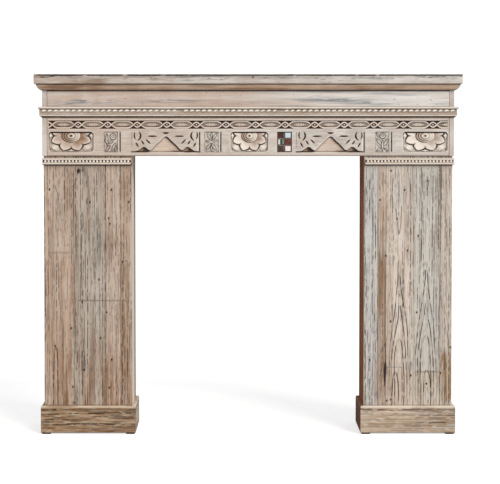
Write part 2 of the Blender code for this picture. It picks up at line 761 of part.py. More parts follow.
def make_header(boards, carved, mouldings):
    """The header box: fascia, frieze, end boards, underboard and the mouldings planted on them."""
    front = HEADER_FRONT_Y
    make_board(
        "fascia_board",
        (-FRONT_BOARD_HALF, front, FRIEZE_TOP_Z),
        (FRONT_BOARD_HALF, front + FRONT_BOARD_THICKNESS, SHELF_BOTTOM_Z - GAP),
        boards,
    )
    make_frieze(carved)
    for side, label in ((-1, "left"), (1, "right")):
        inner = side * (HEADER_HALF - END_BOARD_THICKNESS)
        outer = side * HEADER_HALF
        make_board(
            f"header_end_{label}",
            (min(inner, outer), front, HEADER_BOTTOM_Z),
            (max(inner, outer), BACK_Y, SHELF_BOTTOM_Z - GAP),
            boards,
        )
    make_board(
        "header_underboard",
        (-FRONT_BOARD_HALF, front + FRONT_BOARD_THICKNESS + GAP, HEADER_BOTTOM_Z),
        (FRONT_BOARD_HALF, BACK_Y, HEADER_BOTTOM_Z + UNDERBOARD_THICKNESS),
        boards,
    )
    runs = {
        "front": front_run(-HEADER_HALF - GAP, HEADER_HALF + GAP, front - GAP),
        "left": side_run(-HEADER_HALF - GAP, -1, front - GAP, BACK_Y),
        "right": side_run(HEADER_HALF + GAP, 1, front - GAP, BACK_Y),
    }
    bead = (BED_BEAD_LENGTH, BED_BEAD_WIDTH, BED_BEAD_SLANT, BED_BEAD_RELIEF, BED_BEAD_PITCH)
    moulding_z = SHELF_BOTTOM_Z - SHELF_MOULDING_HEIGHT
    for label, run in runs.items():
        make_moulding(f"shelf_moulding_{label}", quarter_round_profile(), run, moulding_z, mouldings)
        make_beaded_moulding(f"bed_moulding_{label}", bed_rows(), bead, run, BED_BOTTOM_Z, mouldings)


def plinth_profile():
    """A square board with its upper outer edge rounded over."""
    height = PLINTH_TOP - LEG_BOTTOM_Z
    ease = min(PLINTH_EASE, PLINTH_THICKNESS * 0.8)
    profile = [(0.0, 0.0), (PLINTH_THICKNESS, 0.0)]
    for step in range(PLINTH_EASE_STEPS + 1):
        angle = 0.5 * math.pi * step / PLINTH_EASE_STEPS
        out = PLINTH_THICKNESS - ease * (1 - math.cos(angle))
        profile.append((out, height - ease * (1 - math.sin(angle))))
    profile.append((0.0, height))
    return profile


def make_leg(side, label, leg_material, jamb_material, moulding_material, plinth_material, pad_material):
    """One box leg: a front board over two side boards, a beaded strip above and a plinth below."""
    outer = side * LEG_OUTER_X
    inner = side * LEG_INNER_X
    thickness = LEG_SIDE_THICKNESS
    for part, face_x, towards, material in (
        ("outer", outer, -side, leg_material), ("inner", inner, side, jamb_material)
    ):
        other_x = face_x + towards * thickness
        make_board(
            f"leg_{part}_{label}",
            (min(face_x, other_x), LEG_FRONT_Y + LEG_FRONT_THICKNESS + GAP, LEG_BOTTOM_Z),
            (max(face_x, other_x), BACK_Y, LEG_TOP_Z),
            material,
        )
    low_x = min(outer, inner)
    high_x = max(outer, inner)
    make_board(
        f"leg_front_{label}",
        (low_x, LEG_FRONT_Y, LEG_BOTTOM_Z),
        (high_x, LEG_FRONT_Y + LEG_FRONT_THICKNESS, LEG_TOP_Z),
        leg_material,
    )
    capital_height = CAPITAL_LOWER_HEIGHT + CAPITAL_BEAD_BAND_HEIGHT + CAPITAL_UPPER_HEIGHT
    capital_z = LEG_TOP_Z - CAPITAL_DROP - capital_height
    stop = inner + side * CAPITAL_STOP
    corner = outer + side * GAP
    capital = front_run(min(corner, stop), max(corner, stop), LEG_FRONT_Y - GAP, side < 0, side > 0)
    bead = (CAPITAL_BEAD_DIAMETER, CAPITAL_BEAD_DIAMETER * 0.85, 0.0, CAPITAL_BEAD_RELIEF, CAPITAL_BEAD_PITCH)
    capital_return = side_run(corner, side, LEG_FRONT_Y - GAP, BACK_Y)
    for part, run in (("moulding", capital), ("return", capital_return)):
        name = f"capital_{part}_{label}"
        make_beaded_moulding(name, capital_rows(), bead, run, capital_z, moulding_material)
    front = front_run(low_x - GAP, high_x + GAP, LEG_FRONT_Y - GAP)
    make_moulding(f"plinth_front_{label}", plinth_profile(), front, LEG_BOTTOM_Z, plinth_material)
    outer_run = side_run(outer + side * GAP, side, LEG_FRONT_Y - GAP, BACK_Y)
    inner_run = side_run(inner - side * GAP, -side, LEG_FRONT_Y - GAP, BACK_Y)
    make_moulding(f"plinth_outer_{label}", plinth_profile(), outer_run, LEG_BOTTOM_Z, plinth_material)
    make_moulding(f"plinth_inner_{label}", plinth_profile(), inner_run, LEG_BOTTOM_Z, plinth_material)
    make_pads(label, low_x, high_x, pad_material)


def make_pads(label, low_x, high_x, material):
    """Thin pads under the four corners of a plinth."""
    reach = PLINTH_THICKNESS + GAP
    starts_x = {"west": low_x - reach + PAD_INSET, "east": high_x + reach - PAD_INSET - PAD_SIZE}
    starts_y = {"front": LEG_FRONT_Y - reach + PAD_INSET, "back": BACK_Y - PAD_INSET - PAD_SIZE}
    for end, start_x in starts_x.items():
        for depth, start_y in starts_y.items():
            make_board(
                f"foot_pad_{label}_{depth}_{end}",
                (start_x, start_y, 0.0),
                (start_x + PAD_SIZE, start_y + PAD_SIZE, PAD_HEIGHT),
                material, ease=0.0,
            )


def main():
    for piece in list(bpy.data.objects):
        bpy.data.objects.remove(piece)
    bpy.context.collection.objects.link(bpy.data.objects.new(WHOLE, None))
    shelf_wood = make_material("shelf_wood", (0.49, 0.41, 0.33), 0.75)
    header_wood = make_material("header_wood", (0.60, 0.52, 0.44), 0.75)
    carved_wood = make_material("carved_wood", (0.62, 0.54, 0.47), 0.75)
    moulding_wood = make_material("moulding_wood", (0.45, 0.31, 0.21), 0.70)
    leg_wood = make_material("leg_wood", (0.52, 0.42, 0.32), 0.80)
    jamb_wood = make_material("jamb_wood", (0.16, 0.09, 0.05), 0.60)
    plinth_wood = make_material("plinth_wood", (0.40, 0.27, 0.17), 0.80)
    pad_felt = make_material("pad_felt", (0.03, 0.025, 0.02), 0.95)
    make_shelf(shelf_wood)
    make_header(header_wood, carved_wood, moulding_wood)
    for side, label in ((-1, "left"), (1, "right")):
        make_leg(side, label, leg_wood, jamb_wood, moulding_wood, plinth_wood, pad_felt)


main()
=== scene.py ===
"""The carved fireplace surround dressed for its picture.

The carved frieze, the mouldings, the shelf, the leg fronts and the plinths get their fine relief here, each
inside the solid that it stands for. Metres, +Z up, the front towards -Y.
"""

import math

import bmesh
import bpy
import numpy as np
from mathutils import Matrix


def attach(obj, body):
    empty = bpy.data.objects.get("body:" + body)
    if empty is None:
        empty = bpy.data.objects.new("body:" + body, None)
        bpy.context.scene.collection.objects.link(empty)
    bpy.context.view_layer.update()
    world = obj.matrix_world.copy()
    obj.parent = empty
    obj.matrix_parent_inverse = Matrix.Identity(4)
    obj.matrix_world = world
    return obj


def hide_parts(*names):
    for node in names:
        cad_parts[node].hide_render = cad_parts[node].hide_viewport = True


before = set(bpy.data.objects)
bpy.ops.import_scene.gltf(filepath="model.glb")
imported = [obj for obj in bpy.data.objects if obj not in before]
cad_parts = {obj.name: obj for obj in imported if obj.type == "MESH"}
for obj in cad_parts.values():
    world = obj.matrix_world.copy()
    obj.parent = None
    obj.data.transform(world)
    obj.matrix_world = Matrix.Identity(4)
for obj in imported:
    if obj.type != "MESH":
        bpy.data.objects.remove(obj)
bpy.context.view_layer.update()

# Clearance between pieces that touch
GAP = 0.0003
LEAST_PROJECTION = 0.0004
MITRE_EASE = GAP / math.sqrt(2)

# Shelf and header
SHELF_HALF = 0.745
SHELF_FRONT_Y = -0.113
SHELF_BOTTOM_Z = 1.228
SHELF_TOP_Z = 1.262
BACK_Y = 0.113
HEADER_HALF = 0.719
HEADER_FRONT_Y = -0.087
HEADER_BOTTOM_Z = 0.977
FRIEZE_TOP_Z = 1.130
FRIEZE_HALF = 0.7027
BOARD_THICKNESS = 0.024
BED_BOTTOM_Z = 1.111
GUILLOCHE_TOP_Z = 1.100
GUILLOCHE_BOTTOM_Z = 1.072
PANEL_TOP_Z = 1.061
PANEL_BOTTOM_Z = 0.991
PANEL_RISE = PANEL_TOP_Z - PANEL_BOTTOM_Z
ROW_END = 0.6972
FRONT_REACH = 0.7

# Legs and plinths
LEG_OUTER_X = 0.715
LEG_INNER_X = 0.407
LEG_FRONT_Y = -0.082
LEG_FRONT_THICKNESS = 0.018
LEG_BOTTOM_Z = 0.0043
LEG_TOP_Z = 0.9767
CAPITAL_BOTTOM_Z = 0.9462
CAPITAL_STOP = 0.003
PLINTH_TOP_Z = 0.099
PLINTH_THICKNESS = 0.012

# Depths of the carving
ROSETTE_DEPTH = 0.0070
VALANCE_DEPTH = 0.0050
GROOVE_DEPTH = 0.0025
GROOVE_WIDTH = 0.0070
FLORAL_DEPTH = 0.0022
CHECKER_DEPTH = 0.0035
GUILLOCHE_DEPTH = 0.0030
STRAND_HALF = 0.0030


def linear(red, green, blue):
    """A colour given on a 0 to 255 scale, as the shader wants it."""
    parts = []
    for value in (red, green, blue):
        share = value / 255
        parts.append(share / 12.92 if share <= 0.04045 else ((share + 0.055) / 1.055) ** 2.4)
    return (*parts, 1.0)


def ease(low, high, value):
    """0 below low, 1 above high, smooth between them."""
    share = np.clip((value - low) / (high - low), 0.0, 1.0)
    return share * share * (3 - 2 * share)


def band(away, width):
    """A soft band: 1 where away is 0, falling off on both sides over about this width."""
    return np.exp(-((away / width) ** 2))


def from_left(x, at_left, at_right):
    """A value that changes evenly from the left end of the surround to its right end."""
    return np.interp(x, (-FRONT_REACH, FRONT_REACH), (at_left, at_right))


def patches(x, z, size_x, size_z, seed, finer=0):
    """Soft random patches of about this size, from 0 to 1, with some finer ones laid over them."""
    total = 0.0
    weight = 0.0
    for level in range(finer + 1):
        table = np.random.default_rng(seed * 31 + level).random((256, 256))
        across = np.asarray(x) / size_x * 2 ** level + 37.3
        up = np.asarray(z) / size_z * 2 ** level + 51.7
        column = np.floor(across).astype(int)
        row = np.floor(up).astype(int)
        share_x = across - column
        share_z = up - row
        share_x = share_x * share_x * (3 - 2 * share_x)
        share_z = share_z * share_z * (3 - 2 * share_z)
        low = table[row % 256, column % 256] * (1 - share_x) + table[row % 256, (column + 1) % 256] * share_x
        row = row + 1
        high = table[row % 256, column % 256] * (1 - share_x) + table[row % 256, (column + 1) % 256] * share_x
        total = total + (low * (1 - share_z) + high * share_z) * 0.5 ** level
        weight += 0.5 ** level
    return total / weight


def smears(x, z, spots, seed):
    """Worn smears along the grain; each spot is its middle, half length, half height and strength."""
    total = np.zeros_like(x)
    for number, (middle_x, middle_z, half_x, half_z, strength) in enumerate(spots):
        away = ((x - middle_x) / half_x) ** 2 + ((z - middle_z) / half_z) ** 2
        broken = patches(x, z, max(half_x * 0.35, 0.006), max(half_z * 0.5, 0.0016), seed + number, 1)
        total = np.maximum(total, strength * np.exp(-away * 1.2) * ease(0.28, 0.62, broken))
    return total


# Seams and carving are worked out as signed distances


def near_line(x, z, points):
    """Distance to a line of points, and how far along it the nearest place is, from 0 to 1."""
    best = np.full(x.shape, 1e9)
    share = np.zeros(x.shape)
    count = len(points) - 1
    for index in range(count):
        start_x, start_z = points[index]
        step_x = points[index + 1][0] - start_x
        step_z = points[index + 1][1] - start_z
        length = max(step_x * step_x + step_z * step_z, 1e-12)
        along = np.clip(((x - start_x) * step_x + (z - start_z) * step_z) / length, 0.0, 1.0)
        away = np.hypot(x - start_x - along * step_x, z - start_z - along * step_z)
        closer = away < best
        best = np.where(closer, away, best)
        share = np.where(closer, (index + along) / count, share)
    return best, share


def inside_outline(x, z, outline):
    """Signed distance to an outline, positive inside it."""
    away, _ = near_line(x, z, list(outline) + [outline[0]])
    inside = np.zeros(x.shape, dtype=bool)
    for index, (end_x, end_z) in enumerate(outline):
        start_x, start_z = outline[index - 1]
        if start_z == end_z:
            continue
        crosses = (start_z > z) != (end_z > z)
        inside ^= crosses & (x < (end_x - start_x) * (z - start_z) / (end_z - start_z) + start_x)
    return np.where(inside, away, -away)


def inside_box(x, z, left, right, bottom, top, radius=0.0):
    """Signed distance to an upright rectangle with rounded corners, positive inside it."""
    reach_x = np.abs(x - (left + right) / 2) - (right - left) / 2 + radius
    reach_z = np.abs(z - (bottom + top) / 2) - (top - bottom) / 2 + radius
    outside = np.hypot(np.maximum(reach_x, 0), np.maximum(reach_z, 0))
    return -(outside + np.minimum(np.maximum(reach_x, reach_z), 0) - radius)


class Carving:
    """A patch of carving: its heights below the face, and the dirt, chalk and bare wood that show in it, with
    the painted shade and painted highlights laid in among them.
    """

    def __init__(self, x, z):
        self.x = x
        self.z = z
        self.height = np.zeros_like(x)
        self.dark = np.zeros_like(x)
        self.chalk = np.zeros_like(x)
        self.bare_and_shade = np.zeros_like(x)

    def lower(self, height):
        self.height = np.minimum(self.height, height)

    def darken(self, share):
        self.dark = np.maximum(self.dark, share)

    def whiten(self, share):
        self.chalk = np.maximum(self.chalk, share)

    # Brown laid into the carving: the brown of its sunk floors, and painted shade on slopes, bowls and boss
    # sides turned from the light.
    def strip(self, share):
        self.bare_and_shade = np.maximum(self.bare_and_shade, share)

    def cut_stroke(self, points, width, depth):
        """A knife cut, deepest along its middle and pointed at both ends."""
        away, share = near_line(self.x, self.z, points)
        half = width / 2 * np.sqrt(np.clip(np.sin(np.pi * np.clip(share, 0.04, 0.96)), 0, 1))
        cut = np.clip(1 - away / half, 0, 1)
        self.lower(-depth * cut)
        self.darken(ease(0.0, 0.40, cut))

    def leaf(self, base, tip, width, low, high):
        """A pointed leaf, rounded across, with a cut rib down its middle and a dark outline."""
        along_x = tip[0] - base[0]
        along_z = tip[1] - base[1]
        length = math.hypot(along_x, along_z)
        share = ((self.x - base[0]) * along_x + (self.z - base[1]) * along_z) / length ** 2
        away = np.abs((self.x - base[0]) * -along_z + (self.z - base[1]) * along_x) / length
        half = width / 2 * np.clip(np.sin(np.pi * np.clip(share, 0, 1)), 0, 1) ** 0.75 + 1e-9
        within = (share > 0) & (share < 1) & (away < half)
        rise = np.sqrt(np.clip(1 - (away / half) ** 2, 0, 1)) ** 0.6
        rib = 0.45 * band(away, 0.0007) * ease(0.05, 0.3, share) * (1 - ease(0.7, 0.95, share))
        raised = np.maximum(self.height, low + (high - low) * (rise - rib))
        self.height = np.where(within, raised, self.height)
        self.dark = np.where(within, self.dark * 0.3, self.dark)
        outline = band(away - half, 0.0011) * (share > -0.03) * (share < 1.03)
        self.darken(np.maximum(outline * 0.95, rib * within))

    def side_groove(self, right, bottom, top, strength):
        """A groove down the right side of a panel, in painted shade, with a painted highlight just to its
        left.
        """
        start = right - GROOVE_WIDTH
        slope = np.interp(self.x, (start, right - GROOVE_WIDTH * 0.2, right), (0.0, 1.0, 0.0))
        ends = ease(bottom - 0.001, bottom + 0.002, self.z) * (1 - ease(top - 0.002, top + 0.001, self.z))
        self.lower(-GROOVE_DEPTH * slope * ends)
        # Painted shade in the groove.
        self.darken(np.clip(slope * 1.5 - 0.25, 0, 1) * ends * strength)
        # Painted highlight on the rounded edge beside the groove, which faces the light.
        strip = band(self.x - right + 0.0088, 0.0022)
        self.whiten(strip * ends * strength)


def bent(start, end, bulge, steps=6):
    """A line from start to end that bows to one side."""
    across_x = -(end[1] - start[1])
    across_z = end[0] - start[0]
    length = math.hypot(across_x, across_z)
    points = []
    for step in range(steps + 1):
        share = step / steps
        bow = bulge * 4 * share * (1 - share) / length
        points.append((
            start[0] + (end[0] - start[0]) * share + across_x * bow,
            start[1] + (end[1] - start[1]) * share + across_z * bow,
        ))
    return points


def rosette(carving, left, right):
    """A flower of pointed petals with a ringed boss, cut off above by the straight top of its sunk field."""
    half = (right - left) / 2
    centre_x = (left + right) / 2
    centre_z = PANEL_TOP_Z - PANEL_RISE * 0.20
    field = inside_box(carving.x, carving.z, left, right, PANEL_BOTTOM_Z, PANEL_TOP_Z, PANEL_RISE * 0.17)
    sunk = ease(0.0, 0.0012, field)
    u = (carving.x - centre_x) / (half * 0.92)
    v = (carving.z - centre_z) / (PANEL_RISE * 0.765)
    reach = np.hypot(u, v)
    angle = np.degrees(np.arctan2(v, u))
    turns = angle / 45
    point = 1 - 2 * np.abs(turns - np.floor(turns) - 0.5)
    share = reach / (0.78 + 0.25 * point ** 0.80)
    rim = 1 - ease(0.965, 1.0, share)
    crease = (1 - point) ** 6 * ease(0.72, 0.97, share)
    surface = -1 + (0.88 - 0.58 * ease(0.95, 0.50, share) - 0.40 * crease) * rim
    tips = np.zeros_like(u)
    for degrees, tip in ((180, 1.06), (225, 1.24), (270, 1.01), (315, 1.24), (360, 1.06)):
        turn = np.abs((angle - degrees + 180) % 360 - 180)
        width = np.interp(reach, (0.82, 1.0, tip - 0.03, tip), (0.5, 13, 11, 0.5))
        here = (reach > 0.82) & (reach < tip) & (turn < width) & (share > 1.03)
        surface = np.where(here, np.maximum(surface, -0.34 - 0.45 * np.clip(turn / width, 0, 1)), surface)
        tips = np.maximum(tips, here * np.clip(1.3 - turn / width, 0, 1))
    ring = np.hypot((carving.x - centre_x) / (half * 0.42), (carving.z - centre_z) / (PANEL_RISE * 0.325))
    stations = (0.0, 0.10, 0.17, 0.24, 0.42, 0.48, 0.54, 0.68, 0.74, 0.79, 0.92, 0.97, 1.0)
    sinks = (0.34, 0.30, 0.05, 0.02, 0.10, 0.40, 0.12, 0.20, 0.52, 0.24, 0.32, 0.60, 0.75)
    surface = np.where(ring < 1, np.maximum(-np.interp(ring, stations, sinks), -0.75), surface)
    cut_z = PANEL_TOP_Z - PANEL_RISE * 0.045
    below = 1 - ease(cut_z - 0.0006, cut_z + 0.0006, carving.z)
    carving.lower(ROSETTE_DEPTH * (-1 + (surface + 1) * below) * sunk)
    flower = below * sunk
    outside = ease(1.0, 1.03, share) * (ring > 1)
    # Painted shade along the flower's outline, heaviest in the notches, on the ground outside it and in the
    # creases between the petals.
    line_width = 0.026 + 0.050 * (1 - point) ** 1.5
    outline = band(share - 1.0 - 0.6 * line_width, line_width) * (ring > 1)
    outline = outline * (0.62 + 0.38 * (1 - point))
    carving.darken(flower * np.maximum(outline, outside * (0.18 - 0.16 * tips)))
    carving.darken(flower * (ring > 1) * crease * 0.8 * (share < 1.02))
    # Painted shade round the sunk field, strongest under its top edge, and a painted shadow line under the
    # straight top cut.
    carving.darken(band(field - 0.0004, 0.0010) * np.interp(carving.z - cut_z, (-0.02, 0), (0.12, 1.0)))
    carving.darken(band(carving.z - cut_z - 0.0008, 0.0018) * sunk)
    for corner_x in (left + 0.007, right - 0.007):
        corner = ((carving.x - corner_x) / 0.0022) ** 2 + ((carving.z - PANEL_BOTTOM_Z - 0.009) / 0.0055) ** 2
        carving.darken(np.exp(-corner) * 0.75)
    shaded = ease(0.45, -0.25, u)
    carving.darken(flower * band(ring, 0.16))
    # Dark rings round the boss, darker on its shaded left side as painted shade.
    rings = np.zeros_like(u)
    for place, width in ((0.48, 0.05), (0.74, 0.055), (0.98, 0.06)):
        rings = np.maximum(rings, band(ring - place, width))
    rings = rings * (0.22 + 0.68 * shaded) * (ring < 1.15)
    carving.darken(flower * rings)
    # Painted highlights: the petals' rims, the boss's right side, the petals on the lit left side and the
    # slivers beside the petal tips.
    lip = band(share - 0.925, 0.040) * (ring > 1) * (0.70 + 0.30 * ease(0.2, -0.3, u))
    boss_light = (ring < 0.95) * (ring > 0.16) * ease(-0.20, 0.15, u)
    petal_light = (ring > 1.02) * (share < 0.97) * ease(0.15, -0.25, u)
    petal_light = petal_light * np.interp(centre_x, (-0.5, 0, 0.5), (0.2, 0.95, 0.8))
    sliver_light = outside * tips * np.interp(u, (-1, 1), (1.0, 0.6))
    light = np.maximum.reduce([lip, boss_light, petal_light, sliver_light])
    carving.whiten(flower * (1 - rings) * light)
    # Painted shade in brown: the bowl round the boss, heaviest on its right side, and the boss's shaded left
    # side.
    bowl = ease(0.97, 0.70, share) * (ring > 0.97)
    on_right = 0.60 * ease(0.0, 0.45, u) * ease(-0.85, -0.35, v)
    bowl = bowl * (np.interp(centre_x, (-0.5, 0.5), (0.40, 0.15)) + on_right)
    carving.darken(flower * bowl * 0.34 * ease(0.80, 0.55, share))
    boss_shade = (ring > 0.36) * (ring < 1.0) * shaded * 0.9
    carving.strip(flower * np.maximum(bowl, boss_shade))


def valance(carving, left, right):
    """A cusped valance over a sunk peaked field, with knife cuts on it."""
    middle = (left + right) / 2
    half = (right - left) / 2
    z = carving.z

    def spot(across, up):
        return (middle + half * across, PANEL_BOTTOM_Z + PANEL_RISE * up)

    profile = ((0.985, 0.0), (0.90, 0.02), (0.81, 0.055), (0.73, 0.15), (0.66, 0.24), (0.60, 0.235))
    profile += ((0.53, 0.13), (0.475, 0.07), (0.41, 0.115), (0.30, 0.33), (0.155, 0.555), (0.06, 0.73))
    outline = [spot(across, up) for across, up in profile] + [spot(0, 0.78)]
    outline += [spot(-across, up) for across, up in reversed(profile)]
    field = inside_outline(carving.x, z, outline)
    across = (carving.x - middle) / half
    within = ease(0.0, 0.0010, field)
    main = np.abs(across) < 0.475
    ends = ease(0.40, 0.60, np.abs(across))
    # A groove along the foot of the field with painted shade in it, thickest at both ends under the valance.
    shaded_base_line = band(z - PANEL_BOTTOM_Z - 0.0008, 0.0013 + 0.0010 * ends) * ease(-0.006, 0.0, field)
    carving.lower(-VALANCE_DEPTH * within - 0.0012 * shaded_base_line)
    # The field's edge darkened as painted shade, weaker along the main peak's lit left slope.
    outline_share = np.where(main & (across < 0.0), 0.40, 0.95)
    carving.darken(band(field - 0.0003, 0.0012) * (z > PANEL_BOTTOM_Z + 0.001) * outline_share)
    # Painted shade over the main peak's right slope, which faces away from the light.
    lifted = ease(0.15, 0.40, (z - PANEL_BOTTOM_Z) / PANEL_RISE)
    right_slope = (across > -0.01) * np.maximum(ease(0.0, 0.30, across), lifted)
    slope_shade = main * right_slope * np.exp(-np.clip(field - 0.0012, 0, None) / 0.0036)
    carving.darken(within * slope_shade * 0.88)
    # Painted shade in the small peaks, heaviest on their right flanks.
    past_tip = across - np.where(across > 0, 0.66, -0.66)
    carving.darken(within * ~main * (0.26 + 0.50 * ease(-0.10, 0.05, past_tip)))
    # Painted shade along the foot groove.
    carving.darken(shaded_base_line * (0.45 + 0.55 * ends))
    # Brown painted shade on the right slope; the small peaks' floors brown.
    flank_shade = right_slope * np.exp(-np.clip(field, 0, None) / 0.0085)
    carving.strip(within * np.where(main, 0.08 + 0.92 * flank_shade, 0.9))
    # Painted highlight just outside the field's edge, strongest on the main peak's left slope.
    light = band(field + 0.0021, 0.0016) * np.where(main & (across < 0.0), 1.0, 0.45)
    carving.whiten(light * (z > PANEL_BOTTOM_Z + 0.002))
    carving.side_groove(right, PANEL_BOTTOM_Z + 0.002, PANEL_TOP_Z, 1.0)
    # A shallow rounded groove down the left edge, in painted shade where it turns away from the light.
    edge = band(carving.x - left - 0.0014, 0.0012) * ease(0.012, 0.02, z - PANEL_BOTTOM_Z)
    carving.lower(-0.0008 * edge * (z < PANEL_TOP_Z))
    carving.darken(edge * 0.45 * (z < PANEL_TOP_Z))
    carving.cut_stroke(bent(spot(-0.085, 0.965), spot(0.085, 0.965), -PANEL_RISE * 0.03), 0.0080, 0.0030)
    strokes = (
        ((0.26, 0.785), (0.52, 0.785), 0.0, 0.0066), ((0.77, 1.0), (0.81, 0.57), 0.10, 0.0076),
        ((0.90, 0.99), (0.885, 0.64), -0.04, 0.0058), ((0.575, 0.62), (0.455, 0.42), 0.0, 0.0064),
        ((0.71, 0.56), (0.635, 0.38), 0.0, 0.0066), ((0.87, 0.46), (0.80, 0.25), 0.0, 0.0064),
    )
    for start, end, bulge, width in strokes:
        for side in (-1, 1):
            first = spot(side * start[0], start[1])
            last = spot(side * end[0], end[1])
            carving.cut_stroke(bent(first, last, -side * bulge * PANEL_RISE), width, 0.0026)


FLORAL_DESIGNS = {
    "ring_flower": (
        (0.30, 0.76, 0.155),
        (((-0.55, 0.30), (-0.60, 0.92), 0.13), ((-0.92, 0.62), (-0.30, 0.40), 0.11),
         ((-0.30, 0.42), (0.25, 0.55), 0.12), ((0.72, 0.46), (0.12, 0.05), 0.14),
         ((-0.80, 0.04), (-0.12, 0.34), 0.12), ((0.80, 0.30), (0.55, 0.04), 0.10)),
    ),
    "crossed_leaves": (
        None,
        (((0.10, 0.60), (0.78, 0.95), 0.13), ((0.06, 0.56), (-0.66, 0.93), 0.14),
         ((-0.05, 0.44), (0.70, 0.08), 0.14), ((-0.12, 0.44), (-0.76, 0.08), 0.14),
         ((-0.02, 0.98), (0.0, 0.66), 0.10), ((0.85, 0.62), (0.30, 0.50), 0.10),
         ((-0.86, 0.56), (-0.28, 0.50), 0.09), ((0.0, 0.02), (-0.04, 0.34), 0.10)),
    ),
    "tulip": (
        (0.05, 0.80, 0.14),
        (((0.05, 0.60), (0.02, 0.06), 0.12), ((0.22, 0.30), (0.82, 0.64), 0.14),
         ((-0.15, 0.34), (-0.78, 0.68), 0.14), ((-0.20, 0.22), (-0.82, 0.06), 0.11),
         ((0.30, 0.20), (0.80, 0.06), 0.10), ((-0.85, 0.95), (-0.35, 0.72), 0.10)),
    ),
}


def floral(carving, left, right, design):
    """A small panel with a shallow sunk ground and raised leaves and a flower on it."""
    middle = (left + right) / 2
    half = (right - left) / 2
    shown_half = half - GROOVE_WIDTH * 0.75

    def spot(across, up):
        return (middle - GROOVE_WIDTH * 0.75 + shown_half * across, PANEL_BOTTOM_Z + PANEL_RISE * up)

    field = inside_box(
        carving.x, carving.z, left, right - GROOVE_WIDTH * 1.5, PANEL_BOTTOM_Z, PANEL_TOP_Z, 0.003)
    within = ease(0.0, 0.0010, field)
    carving.lower(-FLORAL_DEPTH * within)
    carving.darken(within * 0.06)
    carving.whiten(within * ease(0.40, 0.65, patches(carving.x, carving.z, 0.010, 0.008, 173)) * 0.7)
    flower, leaves = FLORAL_DESIGNS[design]
    for base, tip, width in leaves:
        carving.leaf(spot(*base), spot(*tip), width * PANEL_RISE, -FLORAL_DEPTH, -0.0001)
    if flower:
        centre = spot(flower[0], flower[1])
        ring = np.hypot(carving.x - centre[0], carving.z - centre[1]) / (flower[2] * PANEL_RISE)
        sinks = np.interp(ring, (0, 0.2, 0.32, 0.5, 0.68, 0.85, 1.0), (0.1, 0.15, 0.7, 0.8, 0.15, 0.1, 0.9))
        carving.height = np.where(ring < 1, np.maximum(carving.height, -FLORAL_DEPTH * sinks), carving.height)
        carving.darken(np.maximum(band(ring - 1.0, 0.12), band(ring - 0.4, 0.12) * 0.6))
    broken = 0.45 + 0.5 * ease(0.3, 0.6, patches(carving.x, carving.z, 0.006, 0.006, 171))
    carving.darken(band(field - 0.0005, 0.0011) * broken)
    carving.dark = np.where(field > -0.002, carving.dark, 0.0)
    carving.side_groove(right, PANEL_BOTTOM_Z, PANEL_TOP_Z, 0.95)


def checker_tiles(left, right):
    """The raised tiles of the checker panel as boxes, three rows with the middle one set over."""
    square = (right - left) / 2
    row = PANEL_RISE / 3
    joint = square * 0.06
    tiles = []
    for number, starts in enumerate(((1.0,), (0.0, 0.55), (1.0,))):
        low = PANEL_BOTTOM_Z + number * row
        for start in starts:
            width = square if number != 1 else square * 0.5
            tile_left = left + start * square + joint
            tiles.append((tile_left, tile_left + width - 2 * joint, low + joint, low + row - joint))
    return tiles


def checker(carving, left, right):
    """Rows of raised and sunk squares with dark joints."""
    border = inside_box(carving.x, carving.z, left, right, PANEL_BOTTOM_Z, PANEL_TOP_Z)
    height = -CHECKER_DEPTH * ease(0.0, 0.0010, border)
    joints = band(border - 0.0004, 0.0015)
    for tile in checker_tiles(left, right):
        away = inside_box(carving.x, carving.z, *tile, 0.0012)
        raised = ease(0.0, 0.0012, away)
        height = np.maximum(height, -CHECKER_DEPTH * (1 - 0.85 * raised))
        joints = np.maximum(joints, band(away + 0.0004, 0.0016))
    carving.lower(height)
    carving.darken(joints * 0.95 * (border > -0.001))


